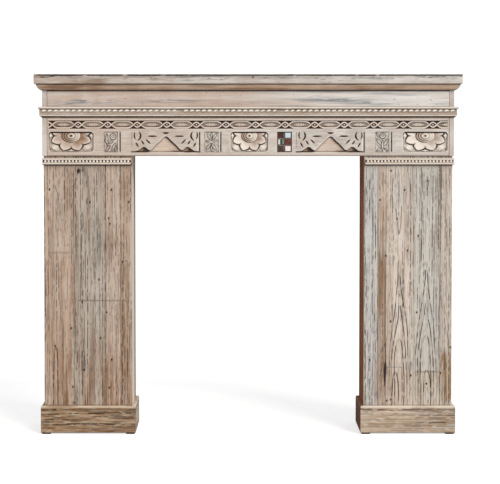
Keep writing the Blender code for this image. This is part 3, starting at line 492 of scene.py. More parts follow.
def guilloche(carving, left, right):
    """Two interlaced strands: long ovals with a leaf in each, and small diamonds with a pip between them."""
    middle = (GUILLOCHE_BOTTOM_Z + GUILLOCHE_TOP_Z) / 2
    half = (GUILLOCHE_TOP_Z - GUILLOCHE_BOTTOM_Z) / 2
    ovals = 13.5
    pitch = (right - left) / ovals
    place = (carving.x - left + pitch / 2) % pitch - pitch / 2
    number = np.floor((carving.x - left + pitch / 2) / pitch)
    away = np.abs(place)
    up = carving.z - middle
    peak = half - STRAND_HALF
    crossing = 0.0132
    swing = (away - crossing) * 0.92
    rising = np.tanh((np.clip(swing, 0, None) / peak) ** 1.5) ** (1 / 1.5)
    offset = peak * np.where(swing > 0, rising, np.tanh(swing / peak))
    slope = 0.92 * (1 - np.clip(np.abs(offset) / peak, 0, 1) ** 2)
    across = 1 / np.sqrt(1 + slope ** 2)
    between = np.abs(up) < np.abs(offset)
    in_diamond = between & (away < crossing)
    in_oval = between & (away >= crossing)
    surface = np.where(in_diamond, -1.0, np.where(in_oval, -0.62, -1.15))
    dark = np.where(in_diamond, 1.0, np.where(in_oval, 0.46, 1.0))
    leaf_share = (pitch / 2 - away) / ((pitch / 2 - 0.0215) * 0.80)
    leaf_rise = peak * 0.62 * np.clip(1 - leaf_share ** 2, 0, 1)
    leaf_across = np.abs(up) / (leaf_rise + 1e-9)
    on_leaf = (leaf_share < 1) & (leaf_across < 1)
    notches = np.clip(np.sin(away * 2 * np.pi / 0.0072 + np.abs(up) * 500), 0, 1)
    leaf_high = -0.20 - 0.40 * np.clip(leaf_across, 0, 1) ** 1.5 - 0.12 * notches
    surface = np.where(on_leaf, np.maximum(surface, leaf_high), surface)
    rim = band(np.abs(up) - leaf_rise, 0.0010) * (leaf_share < 1)
    dark = np.where(on_leaf, 0.04 + 0.80 * notches * leaf_across, dark)
    dark = np.maximum(dark, rim * 0.80)
    pip = (away + np.abs(up)) / 0.0044
    on_pip = (pip < 1) & (number > 0)
    surface = np.where(on_pip, np.maximum(surface, -0.05 - 0.85 * pip ** 2), surface)
    dark = np.where(on_pip, ease(0.65, 1.0, pip) * 0.9, dark)
    chalk = np.maximum(on_pip * 0.9 * (pip < 0.75), on_leaf * 0.35 * (1 - notches))
    first = np.abs(up - offset) * across / STRAND_HALF
    second = np.abs(up + offset) * across / STRAND_HALF
    near_crossing = band(away - crossing, 0.0046)
    for strand, over in ((first, place > 0), (second, place <= 0)):
        dip = near_crossing * np.where(over, 0.0, 0.55)
        rise = np.sqrt(np.clip(1 - strand ** 2, 0, 1)) ** 0.7
        surface = np.where(strand < 1, np.maximum(surface, -1 + rise * (0.97 - dip)), surface)
    for strand, other, over in ((first, second, place > 0), (second, first, place <= 0)):
        covered = (other < 1) & ~over
        dark = np.where((strand < 0.92) & ~covered, 0.0, dark)
        beside = band(strand - 1.20, 0.42) * ~((other < 0.9) & ~over)
        dark = np.maximum(dark, beside * 0.9)
        chalk = np.maximum(chalk, (strand < 0.80) * ~covered)
    border = inside_box(carving.x, carving.z, left, right, GUILLOCHE_BOTTOM_Z, GUILLOCHE_TOP_Z)
    sunk = ease(0.0, 0.0007, border)
    top_line = band(carving.z - GUILLOCHE_TOP_Z + 0.0008, 0.0012) * (border > -0.001)
    foot_line = band(carving.z - GUILLOCHE_BOTTOM_Z - 0.0004, 0.0009) * (border > -0.001)
    carving.lower(GUILLOCHE_DEPTH * (surface * sunk - 0.5 * top_line))
    carving.darken(np.maximum(dark * sunk, np.maximum(top_line * 0.95, foot_line * 0.45)))
    carving.whiten(chalk * sunk)


FRIEZE_ROW = (
    ("rosette", 0.158), (None, 0.037), ("ring_flower", 0.059), (None, 0.037), ("valance", 0.242),
    (None, 0.0155), ("crossed_leaves", 0.059), (None, 0.032), ("rosette", 0.132), (None, 0.032),
    ("checker", 0.050), (None, 0.0155), ("valance", 0.242), (None, 0.037), ("tulip", 0.059),
    (None, 0.037), ("rosette", 0.158),
)


def frieze_panels():
    """The carved panels from left to right with their ends, stretched so that the row fills the board."""
    stretch = 2 * ROW_END / sum(width for _, width in FRIEZE_ROW)
    panels = []
    left = -ROW_END
    for kind, width in FRIEZE_ROW:
        right = left + width * stretch
        if kind:
            panels.append((kind, left, right))
        left = right
    return panels


def carve_frieze(x, z):
    """The whole carved board's front, zero on its face and negative in the carving."""
    whole = Carving(x, z)
    guilloche(whole, -ROW_END, ROW_END)
    for kind, left, right in frieze_panels():
        columns = (x[0] > left - 0.004) & (x[0] < right + 0.004)
        rows = (z[:, 0] > PANEL_BOTTOM_Z - 0.005) & (z[:, 0] < PANEL_TOP_Z + 0.005)
        block = np.ix_(rows, columns)
        patch = Carving(x[block], z[block])
        if kind in FLORAL_DESIGNS:
            floral(patch, left, right, kind)
        else:
            {"rosette": rosette, "valance": valance, "checker": checker}[kind](patch, left, right)
        whole.height[block] = np.minimum(whole.height[block], patch.height)
        whole.dark[block] = np.maximum(whole.dark[block], patch.dark)
        whole.chalk[block] = np.maximum(whole.chalk[block], patch.chalk)
        whole.bare_and_shade[block] = np.maximum(whole.bare_and_shade[block], patch.bare_and_shade)
    return whole


def blurred(values, reach):
    """Each value averaged over its neighbours, this many grid lines each way."""
    for axis in (0, 1):
        padded = np.concatenate([
            np.repeat(np.take(values, [0], axis), reach + 1, axis), values,
            np.repeat(np.take(values, [-1], axis), reach, axis),
        ], axis)
        running = np.cumsum(padded, axis)
        size = values.shape[axis]
        span = 2 * reach + 1
        upper = np.take(running, np.arange(span, span + size), axis)
        lower = np.take(running, np.arange(0, size), axis)
        values = (upper - lower) / span
    return values


def hollows(height, scale):
    """How far each place lies below its neighbours, as a share, for the dirt that settles there and for
    painted shade in the hollows.
    """
    near = blurred(blurred(height, 1), 1) - height
    wide = blurred(blurred(height, 3), 3) - height
    return np.clip(near / (scale * 0.5), 0, 1) * 0.6 + np.clip(wide / scale, 0, 1) * 0.7


def add_attribute(mesh, name, values):
    """A number or a colour for each point of a mesh, read by its material."""
    values = np.asarray(values, dtype=np.float32)
    if values.ndim == 1:
        mesh.attributes.new(name, "FLOAT", "POINT").data.foreach_set("value", values)
    else:
        mesh.attributes.new(name, "FLOAT_COLOR", "POINT").data.foreach_set("color", values.ravel())
        mesh.attributes.new(name + "_share", "FLOAT", "POINT").data.foreach_set("value", values[:, 3].copy())


def add_masks(mesh, masks, count):
    """Several attributes at once, each given over a grid of this many points."""
    for name, values in masks.items():
        flat = np.asarray(values).reshape(count, -1)
        add_attribute(mesh, name, flat[:, 0] if flat.shape[1] == 1 else flat)


def turn_outwards(mesh):
    """The faces of a closed mesh, all turned to point outwards."""
    shape = bmesh.new()
    shape.from_mesh(mesh)
    bmesh.ops.recalc_face_normals(shape, faces=shape.faces)
    shape.to_mesh(mesh)
    shape.free()


def swept_shell(name, points):
    """A closed mesh over rings of points, one ring for each station along it."""
    stations, around = points.shape[:2]
    index = np.arange(stations * around).reshape(stations, around)
    following = np.roll(index, -1, 1)
    quads = np.stack([index[:-1], following[:-1], following[1:], index[1:]], -1).reshape(-1, 4)
    mesh = bpy.data.meshes.new(name)
    mesh.from_pydata(
        points.reshape(-1, 3).tolist(), [], quads.tolist() + [index[0].tolist(), index[-1, ::-1].tolist()])
    turn_outwards(mesh)
    return mesh


def finish_piece(name, mesh, material, sharp=40.0):
    """A finished mesh as a piece of the surround, riding on its one body."""
    mesh.validate()
    mesh.materials.clear()
    mesh.materials.append(material)
    mesh.shade_smooth()
    mesh.set_sharp_from_angle(angle=math.radians(sharp))
    piece = bpy.data.objects.new(name, mesh)
    bpy.context.scene.collection.objects.link(piece)
    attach(piece, "root")
    return piece


def spaced(start, end, step):
    """Grid lines from start to end, about this far apart."""
    return np.linspace(start, end, max(2, int(round((end - start) / step)) + 1))


def grid_lines(*stretches):
    """Grid lines over neighbouring stretches, each given as its end and its spacing after the first start."""
    start = stretches[0]
    lines = [np.array([start])]
    for end, step in stretches[1:]:
        lines.append(spaced(start, end, step)[1:])
        start = end
    return np.concatenate(lines)


def make_front_board(name, xs, zs, height, front_y, thickness, masks):
    """A closed board whose front is a fine grid at these heights; its sides and back are plain."""
    columns = len(xs)
    rows = len(zs)
    x, z = np.meshgrid(xs, zs)
    index = np.arange(rows * columns).reshape(rows, columns)
    rim = np.concatenate([index[0, :], index[1:, -1], index[-1, -2::-1], index[-2:0:-1, 0]])
    front = np.stack([x.ravel(), front_y - height.ravel(), z.ravel()], 1)
    ring = front[rim] + np.array([0.0, 0.0012, 0.0])
    back = front[rim].copy()
    back[:, 1] = front_y + thickness
    points = np.concatenate([front, ring, back])
    quads = np.stack([index[:-1, :-1], index[:-1, 1:], index[1:, 1:], index[1:, :-1]], -1).reshape(-1, 4)
    count = len(rim)
    middle = rows * columns + np.arange(count)
    first = rows * columns + count
    faces = quads.tolist()
    for near, far in ((rim, middle), (middle, middle + count)):
        faces += np.stack([near, far, np.roll(far, -1), np.roll(near, -1)], 1).tolist()
    bottom = first + np.arange(columns)
    right = first + np.arange(columns - 1, columns + rows - 1)
    top = (first + np.arange(columns + rows - 2, 2 * columns + rows - 2))[::-1]
    left = np.concatenate([[first], (first + np.arange(2 * columns + rows - 3, count))[::-1], [top[0]]])
    for step in range(1, columns - 2):
        faces.append([int(bottom[step]), int(top[step]), int(top[step + 1]), int(bottom[step + 1])])
    faces.append([int(v) for v in left] + [int(top[1]), int(bottom[1])])
    faces.append([int(bottom[-2]), int(top[-2])] + [int(v) for v in right[::-1]])
    mesh = bpy.data.meshes.new(name)
    mesh.from_pydata(points.tolist(), [], faces)
    for mask_name, values in masks.items():
        flat = values.reshape(rows * columns, -1)
        ring_share, back_share = (1.0, 1.0) if mask_name == "tint" else (0.3, 0.1)
        full = np.concatenate([flat, flat[rim] * ring_share, flat[rim] * back_share])
        add_attribute(mesh, mask_name, full[:, 0] if full.shape[1] == 1 else full)
    return mesh


def edge_ease(x, z, radius=0.0012):
    """How far the face falls away at a board's rounded edges."""
    near_x = np.minimum(x - x.min(), x.max() - x)
    near_z = np.minimum(z - z.min(), z.max() - z)
    into = np.clip(1 - np.minimum(near_x, near_z) / radius, 0, 1)
    return radius * (1 - np.sqrt(1 - into ** 2 * 0.98))


class Run:
    """A straight run of moulding: where its back plane stands, which way it projects, and how it ends."""

    def __init__(self, start, end, mitres, direction, back):
        self.start = start
        self.end = end
        self.mitres = mitres
        self.direction = direction
        self.back = back

    def ends(self, out):
        """Where the run begins and ends at this projection; a mitre leans outwards."""
        low = self.start - out + MITRE_EASE if self.mitres[0] else self.start + 0 * out
        high = self.end + out - MITRE_EASE if self.mitres[1] else self.end + 0 * out
        return low, high

    def place(self, along, out, z):
        """A point of the run from its place along it, its projection and its height."""
        if self.direction == "front":
            return np.stack([along, self.back - out, z + 0 * along], -1)
        side = 1 if self.direction == "right" else -1
        return np.stack([self.back + side * out, along, z + 0 * along], -1)


def make_run(name, run, rows, step, wear, masks):
    """A moulding swept along a run from rows of height and projection.

    wear and masks say how much each place has lost, and what its material reads there.
    """
    heights = np.array([rows[0][0]] + [row[0] for row in rows] + [rows[-1][0]])
    outs = np.array([0.0] + [row[1] for row in rows] + [0.0])
    low, high = run.ends(outs)
    count = max(2, int(round((high.max() - low.min()) / step)) + 1)
    shares = np.linspace(0, 1, count)[:, None]
    along = low[None, :] + (high - low)[None, :] * shares
    out = np.repeat(outs[None, :], count, 0)
    height = np.repeat(heights[None, :], count, 0)
    lost = wear(along, height)
    for edge in (lost[:, 0], lost[:, -1], lost[0, :], lost[-1, :]):
        edge[:] = 0
    out = np.maximum(out - lost, np.minimum(out, LEAST_PROJECTION))
    mesh = swept_shell(name, run.place(along, out, height))
    add_masks(mesh, masks(along, height), out.size)
    return mesh


def header_runs():
    """The runs of a moulding round the header: across the front, and back along both ends."""
    front_y = HEADER_FRONT_Y - GAP
    return {
        "front": Run(-HEADER_HALF - GAP, HEADER_HALF + GAP, (True, True), "front", front_y),
        "left": Run(front_y, BACK_Y, (True, False), "left", -HEADER_HALF - GAP),
        "right": Run(front_y, BACK_Y, (True, False), "right", HEADER_HALF + GAP),
    }


# Wood finishes, with the effects that they share as groups


def new_group(name, inputs, outputs):
    """An empty node group with named inputs and outputs."""
    group = bpy.data.node_groups.new(name, "ShaderNodeTree")
    for label, kind, value in inputs:
        socket = group.interface.new_socket(label, in_out="INPUT", socket_type=kind)
        if value is not None:
            socket.default_value = value
    for label, kind in outputs:
        group.interface.new_socket(label, in_out="OUTPUT", socket_type=kind)
    entry = group.nodes.new("NodeGroupInput")
    leave = group.nodes.new("NodeGroupOutput")
    return group, entry.outputs, leave.inputs


class Nodes:
    """Short ways to add and join shader nodes in one tree."""

    def __init__(self, tree):
        self.tree = tree

    def put(self, socket, value):
        """Join a socket to another, or set it to a plain value."""
        if isinstance(value, bpy.types.NodeSocket):
            self.tree.links.new(value, socket)
        else:
            socket.default_value = value

    def math(self, operation, first, second=0.0, clamp=False):
        node = self.tree.nodes.new("ShaderNodeMath")
        node.operation = operation
        node.use_clamp = clamp
        self.put(node.inputs[0], first)
        self.put(node.inputs[1], second)
        return node.outputs[0]

    def mix(self, share, first, second):
        node = self.tree.nodes.new("ShaderNodeMix")
        node.data_type = "RGBA"
        self.put(node.inputs[0], share)
        self.put(node.inputs[6], first)
        self.put(node.inputs[7], second)
        return node.outputs[2]

    def step(self, value, low, high):
        """0 below low, 1 above high, smooth between."""
        node = self.tree.nodes.new("ShaderNodeMapRange")
        node.interpolation_type = "SMOOTHSTEP"
        self.put(node.inputs[0], value)
        self.put(node.inputs[1], low)
        self.put(node.inputs[2], high)
        return node.outputs[0]

    def stretch(self, vector, scale):
        node = self.tree.nodes.new("ShaderNodeVectorMath")
        node.operation = "MULTIPLY"
        self.put(node.inputs[0], vector)
        self.put(node.inputs[1], scale)
        return node.outputs[0]

    def noise(self, vector, scale, detail=2.0, roughness=0.5, distortion=0.0):
        node = self.tree.nodes.new("ShaderNodeTexNoise")
        self.put(node.inputs["Vector"], vector)
        self.put(node.inputs["Scale"], scale)
        self.put(node.inputs["Detail"], detail)
        self.put(node.inputs["Roughness"], roughness)
        self.put(node.inputs["Distortion"], distortion)
        return node.outputs["Fac"]

    def attribute(self, name):
        node = self.tree.nodes.new("ShaderNodeAttribute")
        node.attribute_name = name
        return node


def plank_grain_group():
    """Wood grain along X of the vector: fine fibres, broad streaks and soft patches."""
    inputs = [
        ("Vector", "NodeSocketVector", None),
        ("Fibre Length", "NodeSocketFloat", 0.09),
        ("Fibre Width", "NodeSocketFloat", 0.0022),
    ]
    outputs = [("Fibre", "NodeSocketFloat"), ("Streak", "NodeSocketFloat"), ("Patch", "NodeSocketFloat")]
    group, given, result = new_group("plank_grain", inputs, outputs)
    nodes = Nodes(group)
    along = nodes.math("DIVIDE", 1.0, given["Fibre Length"])
    across = nodes.math("DIVIDE", 1.0, given["Fibre Width"])
    combine = group.nodes.new("ShaderNodeCombineXYZ")
    for socket, value in zip(combine.inputs, (along, across, across)):
        nodes.put(socket, value)
    wobble = nodes.noise(given["Vector"], 9.0, 2.0)
    shifted = group.nodes.new("ShaderNodeVectorMath")
    shifted.operation = "MULTIPLY_ADD"
    nodes.put(shifted.inputs[0], wobble)
    shifted.inputs[1].default_value = (0.0, 0.010, 0.010)
    nodes.put(shifted.inputs[2], given["Vector"])
    fine = nodes.stretch(shifted.outputs[0], combine.outputs[0])
    nodes.put(result["Fibre"], nodes.noise(fine, 1.0, 3.0, 0.62))
    nodes.put(result["Streak"], nodes.noise(fine, 0.23, 2.0, 0.55))
    nodes.put(result["Patch"], nodes.noise(given["Vector"], 11.0, 3.0, 0.55, 0.4))
    return group


def limewash_group():
    """Worn limewash over bare wood: the wash stays on the high fibres and goes first along the streaks."""
    inputs = [
        ("Bare Wood", "NodeSocketColor", None),
        ("Lime", "NodeSocketColor", None),
        ("Chalk", "NodeSocketColor", None),
        ("Fibre", "NodeSocketFloat", 0.5),
        ("Streak", "NodeSocketFloat", 0.5),
        ("Patch", "NodeSocketFloat", 0.5),
        ("Cover", "NodeSocketFloat", 0.7),
        ("Chalk Amount", "NodeSocketFloat", 0.0),
    ]
    outputs = [("Color", "NodeSocketColor"), ("Wash", "NodeSocketFloat")]
    group, given, result = new_group("worn_limewash", inputs, outputs)
    nodes = Nodes(group)
    fibre = nodes.math("MULTIPLY", given["Fibre"], 0.50)
    streak = nodes.math("MULTIPLY", given["Streak"], 0.32)
    patch = nodes.math("MULTIPLY", given["Patch"], 0.30)
    mixed = nodes.math("ADD", nodes.math("ADD", fibre, streak), patch)
    level = nodes.math("ADD", mixed, nodes.math("SUBTRACT", given["Cover"], 1.0))
    wash = nodes.step(level, 0.0, 0.34)
    colour = nodes.mix(wash, given["Bare Wood"], given["Lime"])
    high_spots = nodes.step(nodes.math("ADD", given["Fibre"], given["Patch"]), 0.85, 1.2)
    chalky = nodes.math("MULTIPLY", high_spots, wash)
    amount = nodes.math("MAXIMUM", nodes.math("MULTIPLY", chalky, 0.55), given["Chalk Amount"])
    nodes.put(result["Color"], nodes.mix(amount, colour, given["Chalk"]))
    nodes.put(result["Wash"], wash)
    return group


def dirt_and_shade_group():
    """Dark wax and dirt that has settled in cuts, joints and open grain, and the painted shade that the dark
    mask lays under edges and in grooves and hollows.
    """
    inputs = [
        ("Color", "NodeSocketColor", None),
        ("Dirt And Shade", "NodeSocketColor", None),
        ("Hollow", "NodeSocketFloat", 0.0),
        ("Fibre", "NodeSocketFloat", 0.5),
        ("Strength", "NodeSocketFloat", 1.0),
    ]
    group, given, result = new_group("dirt_and_painted_shade", inputs, [("Color", "NodeSocketColor")])
    nodes = Nodes(group)
    ragged = nodes.math("ADD", nodes.math("MULTIPLY", given["Fibre"], -0.7), 1.35)
    amount = nodes.math("MULTIPLY", nodes.math("MULTIPLY", given["Hollow"], ragged), given["Strength"], True)
    nodes.put(result["Color"], nodes.mix(amount, given["Color"], given["Dirt And Shade"]))
    return group


GRAIN = plank_grain_group()
LIMEWASH = limewash_group()
DIRT_AND_SHADE = dirt_and_shade_group()


def wood_finish(name, bare_and_shade, lime, chalk, dirt_and_shade, cover, along="X", fibre=(0.09, 0.0022), stain=(131, 96, 68),
                dirt_and_shade_strength=1.0, roughness=0.78, specular=0.28, relief=0.35, soot=None):
    """Limewashed wood: bare wood, wash, chalky high spots, stains and dirt, from the piece's own masks, which
    also carry painted shade and painted highlights.
    """
    material = bpy.data.materials.new(name)
    material.use_nodes = True
    tree = material.node_tree
    nodes = Nodes(tree)
    shader = tree.nodes["Principled BSDF"]
    place = tree.nodes.new("ShaderNodeTexCoord")
    turn = tree.nodes.new("ShaderNodeMapping")
    turn.inputs["Rotation"].default_value = {
        "X": (0.0, 0.0, 0.0), "Y": (0.0, 0.0, math.pi / 2), "Z": (0.0, math.pi / 2, 0.0),
    }[along]
    nodes.put(turn.inputs["Vector"], place.outputs["Object"])
    grain = tree.nodes.new("ShaderNodeGroup")
    grain.node_tree = GRAIN
    nodes.put(grain.inputs["Vector"], turn.outputs[0])
    grain.inputs["Fibre Length"].default_value = fibre[0]
    grain.inputs["Fibre Width"].default_value = fibre[1]
    chalk_and_highlight_mask = nodes.attribute("chalk").outputs["Fac"]
    stain_and_shade_mask = nodes.attribute("stain").outputs["Fac"]
    dark_mask = nodes.attribute("dark").outputs["Fac"]
    tint = nodes.attribute("tint").outputs["Color"]
    tint_share = nodes.attribute("tint_share").outputs["Fac"]
    wash = tree.nodes.new("ShaderNodeGroup")
    wash.node_tree = LIMEWASH
    wash.inputs["Bare Wood"].default_value = linear(*bare_and_shade)
    wash.inputs["Lime"].default_value = linear(*lime)
    wash.inputs["Chalk"].default_value = linear(*chalk)
    for label in ("Fibre", "Streak", "Patch"):
        nodes.put(wash.inputs[label], grain.outputs[label])
    nodes.put(wash.inputs["Cover"], nodes.math("SUBTRACT", cover, nodes.math("MULTIPLY", stain_and_shade_mask, 0.22)))
    # The chalk amount carries chalky wear and painted highlights.
    nodes.put(wash.inputs["Chalk Amount"], chalk_and_highlight_mask)
    # The stain colour lays real stains and, on the carving and the bed moulding, brown painted shade.
    stained = nodes.mix(nodes.math("MULTIPLY", stain_and_shade_mask, 0.75), wash.outputs["Color"], linear(*stain))
    tinted = nodes.mix(tint_share, stained, tint)
    if soot:
        start, end, share, tone = soot
        apart = tree.nodes.new("ShaderNodeSeparateXYZ")
        nodes.put(apart.inputs[0], place.outputs["Object"])
        behind = nodes.math("ADD", apart.outputs["Y"], nodes.math("MULTIPLY", grain.outputs["Patch"], 0.03))
        sooty = nodes.math("MULTIPLY", nodes.step(behind, start, end), share)
        tinted = nodes.mix(sooty, tinted, linear(*tone))
    # The dirt colour lays both dirt and the painted shade in the dark mask.
    grime_and_shade = tree.nodes.new("ShaderNodeGroup")
    grime_and_shade.node_tree = DIRT_AND_SHADE
    nodes.put(grime_and_shade.inputs["Color"], tinted)
    grime_and_shade.inputs["Dirt And Shade"].default_value = linear(*dirt_and_shade)
    nodes.put(grime_and_shade.inputs["Hollow"], dark_mask)
    nodes.put(grime_and_shade.inputs["Fibre"], grain.outputs["Fibre"])
    grime_and_shade.inputs["Strength"].default_value = dirt_and_shade_strength
    nodes.put(shader.inputs["Base Color"], grime_and_shade.outputs["Color"])
    shine = nodes.math("ADD", nodes.math("MULTIPLY", wash.outputs["Wash"], 0.12), roughness - 0.06)
    nodes.put(shader.inputs["Roughness"], shine)
    shader.inputs["Specular IOR Level"].default_value = specular
    bump = tree.nodes.new("ShaderNodeBump")
    bump.inputs["Strength"].default_value = relief
    bump.inputs["Distance"].default_value = 0.0008
    level = nodes.math("ADD", grain.outputs["Fibre"], nodes.math("MULTIPLY", wash.outputs["Wash"], 0.5))
    nodes.put(bump.inputs["Height"], level)
    nodes.put(shader.inputs["Normal"], bump.outputs["Normal"])
    return material


# Dark brown for dirt and for the painted shade in the dark masks.
BROWN_DIRT_AND_SHADE = (56, 34, 24)
CARVED_FINISH = wood_finish(
    "limewashed_carving", (143, 113, 90), (190, 177, 168), (246, 240, 230), BROWN_DIRT_AND_SHADE, 0.92,
    fibre=(0.05, 0.0026), dirt_and_shade_strength=1.3, relief=0.25,
)
HEADER_COLOURS = ((150, 114, 90), (194, 179, 168), (232, 227, 221), BROWN_DIRT_AND_SHADE)
HEADER_FINISH = wood_finish(
    "limewashed_header", *HEADER_COLOURS, 0.90, fibre=(0.14, 0.0022), dirt_and_shade_strength=1.2, relief=0.25)
HEADER_END_FINISH = wood_finish(
    "limewashed_end", *HEADER_COLOURS, 0.88, along="Y", fibre=(0.12, 0.0024), relief=0.3)
SHELF_FINISH = wood_finish(
    "chalky_shelf", (134, 107, 86), (194, 181, 171), (228, 223, 217), (44, 36, 32), 0.84,
    fibre=(0.10, 0.0020), dirt_and_shade_strength=1.25, relief=0.35,
)
MOULDING_COLOURS = ((156, 114, 84), (212, 192, 174), (250, 242, 230), (48, 28, 20))
BED_FINISH = wood_finish(
    "limewashed_moulding", *MOULDING_COLOURS, 0.90, fibre=(0.08, 0.0022), dirt_and_shade_strength=1.3, relief=0.25)
BED_RETURN_FINISH = wood_finish(
    "limewashed_return", *MOULDING_COLOURS, 0.90,
    along="Y", fibre=(0.08, 0.0022), dirt_and_shade_strength=1.3, relief=0.25,
)
WAXED_COLOURS = ((146, 102, 72), (214, 180, 152), (232, 212, 192), (48, 27, 18))
OVOLO_FINISH = wood_finish(
    "waxed_quarter_round", *WAXED_COLOURS, 0.80, fibre=(0.16, 0.0018), dirt_and_shade_strength=1.3, relief=0.25)
OVOLO_RETURN_FINISH = wood_finish(
    "waxed_quarter_round_return", *WAXED_COLOURS, 0.80, along="Y", fibre=(0.16, 0.0018), relief=0.25)
LEG_COLOURS = {
    "left": ((112, 80, 57), (192, 172, 156), (216, 205, 192), (46, 31, 24), 0.80),
    "right": ((124, 94, 71), (210, 198, 186), (232, 228, 221), (48, 36, 28), 0.84),
}
LEG_FINISHES = {
    label: wood_finish(
        f"rubbed_leg_{label}", *colours, along="Z", fibre=(0.10, 0.0024), dirt_and_shade_strength=1.35, relief=0.45)
    for label, colours in LEG_COLOURS.items()
}
LEG_SIDE_FINISH = wood_finish(
    "rubbed_leg_side", (128, 97, 73), (182, 164, 149), (204, 194, 182), (50, 34, 26), 0.78,
    along="Z", fibre=(0.12, 0.0030), relief=0.45,
)
JAMB_FINISHES = {
    "left": wood_finish(
        "sooty_jamb_left", (140, 114, 90), (222, 208, 192), (236, 228, 218), (44, 32, 22), 0.94,
        along="Z", fibre=(0.16, 0.0030), relief=0.4, soot=(0.020, 0.085, 0.80, (92, 76, 54))),
    # The right jamb faces away from the light; its dark red-brown is partly the wood and soot, partly painted
    # shade.
    "right": wood_finish(
        "sooty_shaded_jamb_right", (84, 44, 24), (146, 88, 54), (166, 108, 70), (34, 16, 10), 0.72,
        along="Z", fibre=(0.16, 0.0030), relief=0.4, roughness=0.85, specular=0.08,
        soot=(0.075, 0.115, 0.85, (46, 20, 10))),
}
PLINTH_COLOURS = {
    "left": ((100, 68, 45), (158, 124, 91), (200, 181, 157), (44, 28, 19)),
    "right": ((122, 92, 68), (198, 174, 149), (216, 203, 186), (48, 31, 22)),
}
PLINTH_FINISHES = {
    label: wood_finish(
        f"worn_plinth_{label}", *colours, 0.82, fibre=(0.09, 0.0026), dirt_and_shade_strength=1.3, relief=0.5)
    for label, colours in PLINTH_COLOURS.items()
}
PLINTH_RETURN_FINISHES = {
    label: wood_finish(
        f"worn_plinth_return_{label}", *colours, 0.80, along="Y", fibre=(0.09, 0.0026), relief=0.5)
    for label, colours in PLINTH_COLOURS.items()
}
# The inner returns as lit and shaded copies: the left one faces the light and is painted paler, the right one
# faces away and is painted dark red-brown, partly painted light and shade.
INNER_PLINTH_FINISHES = {
    "left": wood_finish(
        "lit_plinth_inner_left", (128, 98, 76), (188, 170, 150), (212, 200, 184), (48, 31, 22), 0.86,
        along="Y", fibre=(0.09, 0.0026), relief=0.5),
    "right": wood_finish(
        "shaded_plinth_inner_right", (78, 42, 28), (112, 66, 44), (140, 96, 70), (34, 18, 12), 0.70,
        along="Y", fibre=(0.09, 0.0026), stain=(88, 46, 30), relief=0.5, roughness=0.7),
}
BARE_FINISH = wood_finish(
    "bare_underboard", (112, 80, 56), (146, 116, 92), (168, 144, 120), (50, 32, 22), 0.60,
    fibre=(0.16, 0.0030), relief=0.3,
)


def felt_finish():
    """Dark felt with a fine nap."""
    material = bpy.data.materials.new("dark_felt")
    material.use_nodes = True
    nodes = Nodes(material.node_tree)
    shader = material.node_tree.nodes["Principled BSDF"]
    place = material.node_tree.nodes.new("ShaderNodeTexCoord")
    nap = nodes.noise(place.outputs["Object"], 900.0, 3.0, 0.6)
    nodes.put(shader.inputs["Base Color"], nodes.mix(nap, linear(30, 26, 22), linear(66, 58, 50)))
    shader.inputs["Roughness"].default_value = 0.95
    bump = material.node_tree.nodes.new("ShaderNodeBump")
    bump.inputs["Strength"].default_value = 0.4
    bump.inputs["Distance"].default_value = 0.0005
    nodes.put(bump.inputs["Height"], nap)
    nodes.put(shader.inputs["Normal"], bump.outputs["Normal"])
    return material


FELT_FINISH = felt_finish()


def painted(masks_and_colours, shape):
    """Several tints laid over each other, as one colour with its share in the alpha."""
    colour = np.zeros((*shape, 4))
    for mask, tone in masks_and_colours:
        target = np.array(linear(*tone)[:3])
        share = np.clip(mask, 0, 1)[..., None]
        total = colour[..., 3:] * (1 - share) + share
        safe = np.maximum(total, 1e-6)
        colour[..., :3] = (colour[..., :3] * colour[..., 3:] * (1 - share) + target * share) / safe
        colour[..., 3:] = total
    return colour


